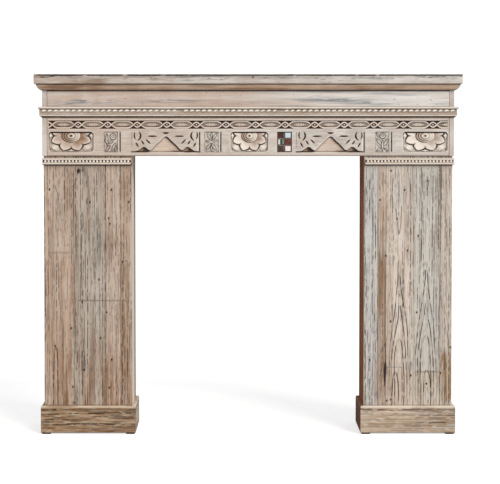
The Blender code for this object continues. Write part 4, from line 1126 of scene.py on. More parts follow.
def dress_frieze():
    """The carved frieze with its carving at full fineness."""
    xs = grid_lines(-FRIEZE_HALF, (FRIEZE_HALF, 0.0014))
    zs = grid_lines(
        HEADER_BOTTOM_Z, (HEADER_BOTTOM_Z + 0.0015, 0.00075), (PANEL_BOTTOM_Z - 0.0015, 0.0036),
        (PANEL_TOP_Z + 0.0015, 0.00132), (GUILLOCHE_BOTTOM_Z - 0.001, 0.0028),
        (GUILLOCHE_TOP_Z + 0.001, 0.0012), (BED_BOTTOM_Z + 0.001, 0.0036), (FRIEZE_TOP_Z - GAP, 0.02),
    )
    x, z = np.meshgrid(xs, zs)
    carved = carve_frieze(x, z)
    height = carved.height - edge_ease(x, z) - 0.00025 * patches(x, z, 0.02, 0.004, 3, 1)
    in_band = (z > GUILLOCHE_BOTTOM_Z) & (z < GUILLOCHE_TOP_Z)
    # Dirt and painted shade in the carving's hollows.
    dark = np.maximum(hollows(height, 0.0024) * np.where(in_band, 0.26, 0.28), carved.dark)
    # A painted shadow line under the bed moulding.
    bed_shadow_line = band(z - BED_BOTTOM_Z + 0.0012, 0.0014) * 0.8
    foot = band(z - HEADER_BOTTOM_Z - 0.0008, 0.0012) * 0.5
    ends = band(FRIEZE_HALF - np.abs(x) - 0.0006, 0.0012) * np.where(x < 0, 0.75, 0.9)
    dark = np.maximum.reduce([dark, bed_shadow_line, foot, ends * (0.4 + 0.6 * patches(x, z, 0.02, 0.012, 9, 1))])
    dark = dark * (0.78 + 0.40 * patches(x, z, 0.03, 0.01, 5, 1))
    raised = np.clip((height - blurred(blurred(height, 2), 2)) / 0.0009, 0, 1)
    chalk = np.maximum(raised * 0.50 * (0.5 + patches(x, z, 0.05, 0.02, 7)), carved.chalk)
    flowers = np.zeros_like(x)
    peaks = np.zeros_like(x)
    for kind, left, right in frieze_panels():
        inside = inside_box(x, z, left, right, PANEL_BOTTOM_Z, PANEL_TOP_Z) > 0
        if kind == "rosette":
            flowers = np.maximum(flowers, inside)
        if kind == "valance":
            peaks = np.maximum(peaks, inside * (carved.height < -0.0035))
    uncut = carved.height > -0.0002
    layers = [
        (ease(0.52, 0.80, patches(x, z, 0.08, 0.022, 21, 2)) * uncut * 0.30, (170, 172, 162)),
        (ease(0.50, 0.75, patches(x, z, 0.12, 0.030, 24, 2)) * uncut * 0.30, (198, 178, 164)),
        (ease(0.45, 0.75, patches(x, z, 0.16, 0.05, 22, 1)) * ease(-0.1, 0.3, x) * 0.60, (218, 212, 206)),
        (ease(0.2, -0.6, x) * 0.30, (192, 160, 132)),
        (in_band * (0.25 + 0.25 * patches(x, z, 0.05, 0.01, 26)), (212, 182, 160)),
        (flowers * np.interp(x, (-0.7, 0.0, 0.7), (0.10, 0.42, 0.52)), (244, 230, 216)),
        (peaks * 0.50, (226, 202, 180)),
        # Brown of the sunk floors and brown painted shade from the carving, stronger on the left.
        (carved.bare_and_shade * from_left(x, 0.55, 0.34), (178, 130, 92)),
        (ease(GUILLOCHE_TOP_Z + 0.001, GUILLOCHE_TOP_Z + 0.003, z) * 0.65, (228, 206, 188)),
        ((z < PANEL_BOTTOM_Z - 0.002) * 0.45, (210, 193, 178)),
    ]
    for number, (kind, left, right) in enumerate(frieze_panels()):
        inside = ease(0.0, 0.0015, inside_box(x, z, left, right, PANEL_BOTTOM_Z, PANEL_TOP_Z))
        if kind in FLORAL_DESIGNS:
            layers.append((inside * 0.25 * patches(x, z, 0.012, 0.008, 60 + number, 1), (168, 176, 162)))
        if kind == "checker":
            layers += checker_paint(x, z, left, right)
    rail = (z < PANEL_BOTTOM_Z) * ease(0.35, 0.7, patches(x, z, 0.2, 0.02, 23)) * 0.2
    masks = {
        "dark": np.clip(dark, 0, 1), "chalk": np.clip(chalk, 0, 1),
        # The carving's brown painted shade also goes into the stain mask.
        "stain": np.clip(np.maximum(carved.bare_and_shade * from_left(x, 0.80, 0.45), rail), 0, 1),
        "tint": painted(layers, x.shape),
    }
    mesh = make_front_board("frieze_carving", xs, zs, height, HEADER_FRONT_Y, BOARD_THICKNESS, masks)
    piece = finish_piece("frieze_carving", mesh, CARVED_FINISH)
    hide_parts("carved_frieze")


def checker_paint(x, z, left, right):
    """The coloured squares of the checker panel."""
    square = (right - left) / 2
    row = PANEL_RISE / 3
    low = PANEL_BOTTOM_Z
    squares = (
        ((0.0, 1.0), 0, (62, 40, 32)), ((1.0, 2.0), 0, (246, 232, 228)),
        ((0.0, 0.5), 1, (226, 222, 214)), ((0.5, 1.0), 1, (92, 138, 120)), ((1.0, 2.0), 1, (98, 36, 28)),
        ((0.0, 1.0), 2, (66, 22, 18)), ((1.0, 2.0), 2, (206, 222, 230)),
    )
    layers = []
    for (start, end), number, tone in squares:
        box = (left + start * square, left + end * square, low + number * row, low + (number + 1) * row)
        inside = ease(0.0, 0.0016, inside_box(x, z, *box))
        layers.append((inside * (0.90 + 0.10 * patches(x, z, 0.006, 0.006, 90 + number)), tone))
    return layers


def profile_line(rows, step):
    """The rows of a profile with more between them, about this far apart."""
    result = [rows[0]]
    for start, end in zip(rows[:-1], rows[1:]):
        length = math.hypot(end[0] - start[0], end[1] - start[1])
        count = max(1, int(round(length / step)))
        for number in range(1, count + 1):
            share = number / count
            result.append((start[0] + (end[0] - start[0]) * share, start[1] + (end[1] - start[1]) * share))
    return result


BEAD_TURN = 0.12
BEAD_SUNK = 0.0004
BEAD_SIDES = 12
BEAD_RINGS = ((1.0, 0.0), (0.93, 0.45), (0.72, 0.78), (0.38, 0.96))


def bead_tree():
    """Geometry nodes that set beads in a row along a moulding: each a little turned and sized, a few lost."""
    tree = bpy.data.node_groups.new("bead_row", "GeometryNodeTree")
    sockets = (
        ("Moulding", "NodeSocketGeometry", None), ("Bead", "NodeSocketObject", None),
        ("First Bead", "NodeSocketVector", None), ("Bead Step", "NodeSocketVector", None),
        ("Bead Count", "NodeSocketInt", 10), ("Turn Axis", "NodeSocketVector", None),
        ("Turn", "NodeSocketFloat", BEAD_TURN), ("Smallest Bead", "NodeSocketFloat", 0.85),
        ("Lost Share", "NodeSocketFloat", 0.0), ("Seed", "NodeSocketInt", 1),
        ("Finish", "NodeSocketMaterial", None),
    )
    for label, kind, value in sockets:
        socket = tree.interface.new_socket(label, in_out="INPUT", socket_type=kind)
        if value is not None:
            socket.default_value = value
    tree.interface.new_socket("Moulding", in_out="OUTPUT", socket_type="NodeSocketGeometry")
    given = tree.nodes.new("NodeGroupInput").outputs
    leave = tree.nodes.new("NodeGroupOutput")

    def add(kind, joins, **settings):
        """A node with these settings, joined to the sockets that feed it; returns its outputs."""
        node = tree.nodes.new(kind)
        for label, value in settings.items():
            setattr(node, label, value)
        for socket, source in joins:
            if isinstance(source, float):
                node.inputs[socket].default_value = source
            else:
                tree.links.new(source, node.inputs[socket])
        return node.outputs

    line = add("GeometryNodeMeshLine", (
        ("Count", given["Bead Count"]), ("Start Location", given["First Bead"]),
        ("Offset", given["Bead Step"])))
    lost = add("FunctionNodeRandomValue", (
        ("Probability", given["Lost Share"]), ("Seed", given["Seed"])), data_type="BOOLEAN")
    kept = add("GeometryNodeDeleteGeometry", (("Geometry", line["Mesh"]), ("Selection", lost[3])))
    bead = add("GeometryNodeObjectInfo", (("Object", given["Bead"]),))
    back = add("ShaderNodeMath", ((0, given["Turn"]), (1, -1.0)), operation="MULTIPLY")
    angle = add("FunctionNodeRandomValue", (
        (2, back[0]), (3, given["Turn"]), ("Seed", given["Seed"])), data_type="FLOAT")
    axis = add("ShaderNodeVectorMath", ((0, given["Turn Axis"]), ("Scale", angle[1])), operation="SCALE")
    size = add("FunctionNodeRandomValue", (
        (2, given["Smallest Bead"]), (3, 1.0), ("Seed", given["Seed"])), data_type="FLOAT")
    beads = add("GeometryNodeInstanceOnPoints", (
        ("Points", kept["Geometry"]), ("Instance", bead["Geometry"]), ("Rotation", axis[0]),
        ("Scale", size[1])))
    joined = add("GeometryNodeJoinGeometry", ((0, beads["Instances"]), (0, given["Moulding"])))
    real = add("GeometryNodeRealizeInstances", ((0, joined[0]),))
    finished = add("GeometryNodeSetMaterial", (("Geometry", real[0]), ("Material", given["Finish"])))
    tree.links.new(finished[0], leave.inputs[0])
    return tree


BEAD_TREE = bead_tree()


def make_bead(run, length, width, relief, slant, taper, foot_shade):
    """One carved bead at the origin, lying along its run: a slanted drop, blunt at one end."""
    around = BEAD_SIDES
    points = []
    for reach, rise in BEAD_RINGS:
        for step in range(around):
            angle = 2 * math.pi * step / around
            share = math.cos(angle) * reach
            up = math.sin(angle) * reach * (1 - taper * share) * width / 2
            along = share * length / 2 + slant * up / (width / 2)
            points.append((along, rise * relief * (1 - 0.3 * taper * share), up))
    points.append((0.0, relief, 0.0))
    faces = []
    for ring in range(len(BEAD_RINGS) - 1):
        for step in range(around):
            first = ring * around + step
            second = ring * around + (step + 1) % around
            faces.append((first, second, second + around, first + around))
    last = (len(BEAD_RINGS) - 1) * around
    for step in range(around):
        faces.append((last + step, last + (step + 1) % around, len(points) - 1))
    faces.append(tuple(range(around - 1, -1, -1)))
    lowered = [(along, out - BEAD_SUNK, up) for along, out, up in points]
    placed = [run.place(np.array(a), np.array(o), np.array(u)) for a, o, u in lowered]
    origin = run.place(np.array(0.0), np.array(0.0), np.array(0.0))
    mesh = bpy.data.meshes.new("bead")
    mesh.from_pydata([tuple(spot - origin) for spot in placed], [], faces)
    turn_outwards(mesh)
    count = len(points)
    ring_of = np.arange(count) // around
    # Painted shade round the bead's foot, where it meets the ground.
    above_foot = np.where(ring_of == 1, foot_shade * 0.15, 0.0)
    add_attribute(mesh, "dark", np.where(ring_of == 0, foot_shade, above_foot))
    add_attribute(mesh, "chalk", np.where(ring_of == 0, 0.0, 0.75))
    mesh.shade_smooth()
    bead = bpy.data.objects.new("bead", mesh)
    bpy.context.scene.collection.objects.link(bead)
    return bead


def set_beads(name, mesh, run, ground, base_z, bead_form, pitch, smallest, lost, seed, material):
    """The moulding's mesh with its row of beads, as one plain mesh."""
    bead = make_bead(run, **bead_form)
    low, high = run.ends(np.array(ground))
    first = float(low) + pitch * 0.25
    last = float(high) - pitch * 0.25
    count = max(1, round((last - first) / pitch))
    spacing = (last - first) / count
    start = run.place(np.array(first + spacing / 2), np.array(ground), np.array(base_z))
    following = run.place(np.array(first + spacing * 1.5), np.array(ground), np.array(base_z))
    holder = bpy.data.objects.new(name + "_work", mesh)
    bpy.context.scene.collection.objects.link(holder)
    modifier = holder.modifiers.new("beads", "NODES")
    modifier.node_group = BEAD_TREE
    values = {
        "Bead": bead, "First Bead": tuple(start), "Bead Step": tuple(following - start),
        "Bead Count": count, "Turn Axis": (0.0, 1.0, 0.0) if run.direction == "front" else (1.0, 0.0, 0.0),
        "Turn": BEAD_TURN, "Smallest Bead": smallest, "Lost Share": lost, "Seed": seed, "Finish": material,
    }
    for item in BEAD_TREE.interface.items_tree:
        if item.in_out == "INPUT" and item.name in values:
            modifier[item.identifier] = values[item.name]
    seen = holder.evaluated_get(bpy.context.evaluated_depsgraph_get())
    result = bpy.data.meshes.new_from_object(seen)
    bpy.data.objects.remove(holder)
    bpy.data.objects.remove(bead)
    return result


BED_OUT = 0.013
BED_BEADS_UP = 0.0242
BED_BEAD = {
    "length": 0.0172, "width": 0.0094, "relief": 0.0034, "slant": 0.0034, "taper": 0.30, "foot_shade": 0.80,
}
BED_ROWS = (
    (0.0, 0.08), (0.0042, 0.36), (0.0050, 0.52), (0.0064, 0.64), (0.0110, 0.67), (0.0160, 0.69),
    (0.0175, 0.62), (0.0292, 0.62), (0.0300, 0.94), (0.0312, 0.97), (0.0360, 1.0), (0.0372, 0.99),
    (0.0380, 0.93),
)
# How dark the bed moulding is up its profile: painted shade along the recessed foot, under the beads and under
# the top fillet, and dark in the bead ground.
BED_SHADE_AND_DIRT = (
    (0.0, 0.95), (0.0036, 0.88), (0.0048, 0.35), (0.0058, 0.0), (0.0098, 0.0), (0.0108, 0.50), (0.0118, 0.30),
    (0.0150, 0.10), (0.0170, 0.25), (0.0184, 0.72), (0.0290, 0.72), (0.0304, 0.88), (0.0316, 0.50),
    (0.0326, 0.0),
    (0.0372, 0.0), (0.0380, 0.35),
)


def dress_bed_mouldings():
    """The beaded moulding over the joint of fascia and frieze."""
    rows = [(BED_BOTTOM_Z + up, out * BED_OUT) for up, out in BED_ROWS]
    rows = profile_line(rows, 0.0014)

    def wear(along, height):
        return 0.0005 * patches(along, height, 0.012, 0.004, 31, 1) + 0.0007 * ease(
            0.68, 0.9, patches(along, height, 0.03, 0.006, 33))

    def masks(along, height):
        level = height - BED_BOTTOM_Z
        dark = np.interp(level, [row[0] for row in BED_SHADE_AND_DIRT], [row[1] for row in BED_SHADE_AND_DIRT])
        broken = patches(along, height, 0.02, 0.004, 35, 1)
        dark = dark * (0.72 + 0.45 * broken)
        filled = ease(0.62, -0.30, along) * ease(0.45, 0.75, patches(along, height, 0.05, 0.02, 36))
        in_beads = (level > 0.0178) & (level < 0.0296)
        dark = np.where(in_beads, dark * (1 - 0.45 * filled) * from_left(along, 0.30, 0.48), dark)
        # Painted highlights on the top fillet and the smooth band, which face the light, broken up in patches.
        rubbed_and_lit = (level > 0.0318) & (level < 0.0374) | (level > 0.0058) & (level < 0.0106)
        chalk = 0.60 * rubbed_and_lit * (0.4 + 0.6 * broken)
        # Brown painted shade in the band under the beads, and tan in the bead ground.
        stain = np.where((level > 0.0100) & (level < 0.0180), 0.40, in_beads * 0.45)
        stain = stain * (0.7 + 0.3 * broken)
        return {"dark": np.clip(dark, 0, 1), "chalk": np.clip(chalk, 0, 1), "stain": stain}

    for number, (label, run) in enumerate(header_runs().items()):
        name = f"beaded_bed_{label}"
        finish = BED_FINISH if label == "front" else BED_RETURN_FINISH
        mesh = make_run(name, run, rows, 0.003, wear, masks)
        mesh = set_beads(
            name, mesh, run, BED_OUT * 0.62, BED_BOTTOM_Z + BED_BEADS_UP, BED_BEAD,
            pitch=0.0205, smallest=0.86,
            lost=0.03, seed=40 + number, material=finish)
        piece = finish_piece(name, mesh, finish)
        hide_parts(f"bed_moulding_{label}")


CAPITAL_OUT = 0.0055
PEARLS_UP = 0.0121
PEARL = {"length": 0.0088, "width": 0.0084, "relief": 0.0024, "slant": 0.0, "taper": 0.0, "foot_shade": 0.35}
CAPITAL_ROWS = (
    (0.0, 0.15), (0.0008, 0.80), (0.0025, 0.97), (0.0060, 1.0), (0.0074, 0.96), (0.0080, 0.55),
    (0.0162, 0.55), (0.0170, 0.95), (0.0190, 1.0), (0.0218, 0.98), (0.0230, 0.85),
)


def dress_capitals():
    """The strips of small pearls at the top of each leg."""
    rows = profile_line([(CAPITAL_BOTTOM_Z + up, out * CAPITAL_OUT) for up, out in CAPITAL_ROWS], 0.0014)
    front_y = LEG_FRONT_Y - GAP

    def wear(along, height):
        return 0.0003 * patches(along, height, 0.010, 0.004, 51, 1)

    def masks(along, height):
        level = height - CAPITAL_BOTTOM_Z
        # Painted shade up the profile: at its foot, along the pearls' ground and at its top under the gap.
        stations = (0.0, 0.0010, 0.0020, 0.0070, 0.0080, 0.0086, 0.0158, 0.0166, 0.0176, 0.0222, 0.0230)
        shares = (1.0, 0.85, 0.05, 0.0, 0.30, 1.0, 1.0, 0.30, 0.0, 0.05, 0.6)
        dark = np.interp(level, stations, shares) * (0.75 + 0.4 * patches(along, height, 0.012, 0.004, 53, 1))
        dark = dark * from_left(along, 1.0, 0.72)
        chalk = 0.45 * ((level > 0.0018) & (level < 0.0072) | (level > 0.0172)) * np.ones_like(along)
        return {"dark": np.clip(dark, 0, 1), "chalk": chalk}

    for side, label in ((-1, "left"), (1, "right")):
        outer = side * (LEG_OUTER_X + GAP)
        inner = side * (LEG_INNER_X + CAPITAL_STOP)
        runs = {
            "moulding": Run(min(outer, inner), max(outer, inner), (side < 0, side > 0), "front", front_y),
            "return": Run(front_y, BACK_Y, (True, False), label, outer),
        }
        for part, run in runs.items():
            name = f"pearled_{part}_{label}"
            finish = BED_FINISH if part == "moulding" else BED_RETURN_FINISH
            mesh = make_run(name, run, rows, 0.004, wear, masks)
            mesh = set_beads(
                name, mesh, run, CAPITAL_OUT * 0.55, CAPITAL_BOTTOM_Z + PEARLS_UP, PEARL, pitch=0.0120,
                smallest=0.95, lost=0.0, seed=60, material=finish)
            piece = finish_piece(name, mesh, finish)
            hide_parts(f"capital_{part}_{label}")


def dress_quarter_rounds():
    """The quarter-round under the shelf."""
    reach = 0.020
    flatness = 0.28
    full_rise = 0.022
    rise = full_rise - GAP
    bottom = SHELF_BOTTOM_Z - full_rise
    steps = 14
    rows = []
    for step in range(steps + 1):
        angle = 0.5 * math.pi * (1 - step / steps)
        level = 1 - math.sin(angle)
        rows.append((bottom + rise * level, reach * (math.cos(angle) * (1 - flatness) + level * flatness)))
    rows[0] = (bottom, 0.0004)

    def wear(along, height):
        return 0.0004 * patches(along, height, 0.03, 0.008, 71, 1)

    def masks(along, height):
        level = (height - bottom) / rise
        # Painted shade at the quarter-round's foot and under the shelf's overhang at its top.
        dark = np.interp(level, (0.0, 0.07, 0.14, 0.80, 0.92, 1.0), (1.0, 0.65, 0.0, 0.0, 0.30, 0.95))
        dark = dark * (0.7 + 0.5 * patches(along, height, 0.04, 0.006, 73, 1))
        stain = ease(0.45, 0.75, patches(along, height, 0.12, 0.01, 75, 1)) * 0.6
        stain = from_left(along, 0.25, 0.0) + stain * from_left(along, 1.0, 0.45)
        return {"dark": np.clip(dark, 0, 1), "stain": stain}

    for label, run in header_runs().items():
        mesh = make_run(f"quarter_round_{label}", run, rows, 0.004, wear, masks)
        finish = OVOLO_FINISH if label == "front" else OVOLO_RETURN_FINISH
        piece = finish_piece(f"quarter_round_{label}", mesh, finish, 55.0)
        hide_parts(f"shelf_moulding_{label}")


def dress_shelf():
    """The thick shelf with rubbed, chipped edges and worn smears of old blue paint."""
    rise = SHELF_TOP_Z - SHELF_BOTTOM_Z
    radius = 0.003
    front = spaced(SHELF_BOTTOM_Z + radius, SHELF_TOP_Z - radius, 0.0012)
    corner = [math.radians(angle) for angle in (22.5, 45, 67.5)]
    section = [(SHELF_FRONT_Y, z) for z in front]
    section += [
        (SHELF_FRONT_Y + radius * (1 - math.cos(a)), SHELF_TOP_Z - radius * (1 - math.sin(a)))
        for a in corner
    ]
    section += [(y, SHELF_TOP_Z) for y in spaced(SHELF_FRONT_Y + radius, BACK_Y, 0.008)]
    section += [(BACK_Y, SHELF_BOTTOM_Z)]
    section += [(y, SHELF_BOTTOM_Z) for y in spaced(SHELF_FRONT_Y + radius, BACK_Y - 0.02, 0.012)[::-1]]
    section += [
        (SHELF_FRONT_Y + radius * (1 - math.sin(a)), SHELF_BOTTOM_Z + radius * (1 - math.cos(a)))
        for a in corner
    ]
    section = np.array(section)
    ends = np.array([0.0, 0.0005, 0.0012, 0.0020, 0.0030])
    between = spaced(-SHELF_HALF + 0.006, SHELF_HALF - 0.006, 0.0035)
    stations = np.concatenate([-SHELF_HALF + ends, between, (SHELF_HALF - ends)[::-1]])
    near_end = SHELF_HALF - np.abs(stations)
    inset = radius - np.sqrt(np.clip(radius ** 2 - np.clip(radius - near_end, 0, radius) ** 2, 0, None))
    x = np.repeat(stations[:, None], len(section), 1)
    y = np.repeat(section[None, :, 0], len(stations), 0)
    z = np.repeat(section[None, :, 1], len(stations), 0)
    y = np.clip(y, SHELF_FRONT_Y + inset[:, None], None)
    z = np.clip(z, SHELF_BOTTOM_Z + inset[:, None], SHELF_TOP_Z - inset[:, None])
    to_edge = np.hypot(y - SHELF_FRONT_Y, z - SHELF_TOP_Z)
    chip = ease(0.60, 0.85, patches(x, z, 0.012, 0.5, 81, 1)) * 0.0016 * np.exp(-to_edge / 0.003)
    on_front = np.clip(1 - (y - SHELF_FRONT_Y) / 0.003, 0, 1)
    rough = 0.0004 * patches(x, z, 0.016, 0.004, 83, 1) * on_front
    y = y + chip + rough
    z = z - chip
    mesh = swept_shell("worn_shelf", np.stack([x, y, z], -1))
    up = (z - SHELF_BOTTOM_Z) / rise
    line = 0.90 + 0.05 * patches(x, z * 0, 0.03, 1.0, 85, 2) - 0.03
    edge_line = band(up - line, 0.080) * ease(0.18, 0.40, patches(x, z * 0, 0.035, 1.0, 86, 2))
    upper = 0.30 + 0.70 * ease(0.35, 0.70, up)
    flecks = ease(0.66, 0.82, patches(x, z, 0.022, 0.0030, 87, 2)) * 0.85 * upper
    long_lines = grain_lines(z, x, 89, (0.0035, 0.008))
    long_lines = long_lines * ease(0.35, 0.65, patches(x, z, 0.08, 0.01, 90)) * 0.6 * upper
    under = (1 - ease(0.0, 0.10, up)) * 0.6
    flecks = np.maximum(flecks, long_lines)
    dark = np.maximum(edge_line, np.maximum(flecks, under)) * on_front
    top_side = (y > SHELF_FRONT_Y + 0.002) & (z > SHELF_TOP_Z - 0.001)
    dark = dark + top_side * 0.25 * ease(0.62, 0.85, patches(x, y, 0.09, 0.006, 88, 2))
    spots = [
        (-0.672, 1.2555, 0.055, 0.0055, 0.95), (-0.60, 1.250, 0.05, 0.004, 0.6),
        (-0.40, 1.2555, 0.12, 0.004, 0.6),
        (-0.15, 1.254, 0.20, 0.005, 0.7), (-0.20, 1.240, 0.05, 0.004, 0.4), (0.10, 1.250, 0.10, 0.005, 0.55),
        (0.30, 1.256, 0.12, 0.004, 0.6), (0.43, 1.250, 0.08, 0.006, 0.7), (0.62, 1.252, 0.09, 0.006, 0.6),
        (0.70, 1.246, 0.03, 0.005, 0.6), (-0.50, 1.238, 0.06, 0.005, 0.35),
    ]
    blue = smears(x, z, spots, 100) * on_front
    top_blue = top_side * ease(0.60, 0.85, patches(x, y, 0.16, 0.014, 121, 2)) * 0.5
    whiter = ease(-0.1, 0.7, x) * 1.3 * patches(x, z, 0.06, 0.01, 123, 1) * on_front
    across_grain = np.where(top_side, y * 0.5, z)
    browner = ease(0.50, 0.80, patches(x, across_grain, 0.10, 0.006, 125, 2))
    browner = browner * (0.75 - 0.55 * ease(-0.6, 0.2, x))
    tanned = ease(0.0, -0.7, x) * (0.25 + 0.35 * patches(x, z, 0.08, 0.01, 127, 1)) * on_front
    add_masks(mesh, {
        "dark": np.clip(dark, 0, 1),
        "chalk": np.clip(whiter, 0, 1),
        "stain": np.clip(browner, 0, 1),
        "tint": painted([(tanned, (172, 148, 126)), (np.maximum(blue, top_blue), (86, 98, 102))], x.shape),
    }, x.size)
    piece = finish_piece("worn_shelf", mesh, SHELF_FINISH, 50.0)
    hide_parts("mantel_shelf")


def dress_fascia():
    """The plain upper board, with faint smears of blue-grey paint and a nail dot."""
    xs = grid_lines(-FRIEZE_HALF, (FRIEZE_HALF, 0.0032))
    low = BED_BOTTOM_Z + 0.030
    high = SHELF_BOTTOM_Z - 0.018
    zs = grid_lines(FRIEZE_TOP_Z, (low, 0.006), (high, 0.0016), (SHELF_BOTTOM_Z - GAP, 0.01))
    x, z = np.meshgrid(xs, zs)
    height = -edge_ease(x, z) - 0.0003 * patches(x, z, 0.05, 0.004, 131, 1)
    spots = [
        (-0.555, 1.167, 0.095, 0.0075, 1.2), (-0.60, 1.160, 0.08, 0.006, 1.1),
        (-0.25, 1.168, 0.13, 0.007, 0.8),
        (0.02, 1.162, 0.08, 0.005, 0.5), (0.30, 1.172, 0.16, 0.009, 0.75), (0.42, 1.164, 0.11, 0.008, 0.7),
        (0.24, 1.183, 0.08, 0.006, 0.5), (-0.05, 1.158, 0.16, 0.004, 0.4),
    ]
    blue = smears(x, z, spots, 140)
    brown = smears(x, z, [(0.46, 1.196, 0.14, 0.006, 0.6), (0.30, 1.199, 0.06, 0.003, 0.5),
                          (-0.52, 1.190, 0.08, 0.003, 0.35)], 160)
    # A painted shadow line under the quarter-round.
    ovolo_shadow_line = band(z - SHELF_BOTTOM_Z + 0.0235, 0.0022) * 0.8
    foot = band(z - BED_BOTTOM_Z - 0.0385, 0.0018) * 0.55
    whiter = ease(-0.25, 0.35, x) * 1.10 * (0.5 + 0.6 * patches(x, z, 0.10, 0.02, 163, 1))
    ends = band(FRIEZE_HALF - np.abs(x) - 0.0006, 0.0012) * (0.35 + 0.5 * patches(x, z, 0.02, 0.012, 9))
    pink = (1 - ease(-0.1, 0.5, x)) * (0.20 + 0.45 * ease(0.35, 0.7, patches(x, z, 0.20, 0.012, 166, 1)))
    streaks = ease(0.52, 0.78, patches(x, z, 0.12, 0.0040, 167, 2)) * ease(-0.2, 0.3, x) * 0.55
    flecks = ease(0.84, 0.93, patches(x, z, 0.008, 0.004, 165, 1)) * 0.8
    masks = {
        "dark": np.clip(np.maximum.reduce([ovolo_shadow_line, foot, flecks, ends]), 0, 1),
        "chalk": np.clip(whiter, 0, 1),
        "stain": np.clip(brown, 0, 1),
        "tint": painted([
            (pink, (204, 176, 156)), (streaks, (150, 154, 156)), (blue, (98, 108, 120)),
        ], x.shape),
    }
    mesh = make_front_board("plain_fascia", xs, zs, height, HEADER_FRONT_Y, BOARD_THICKNESS, masks)
    piece = finish_piece("plain_fascia", mesh, HEADER_FINISH)
    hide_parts("fascia_board")


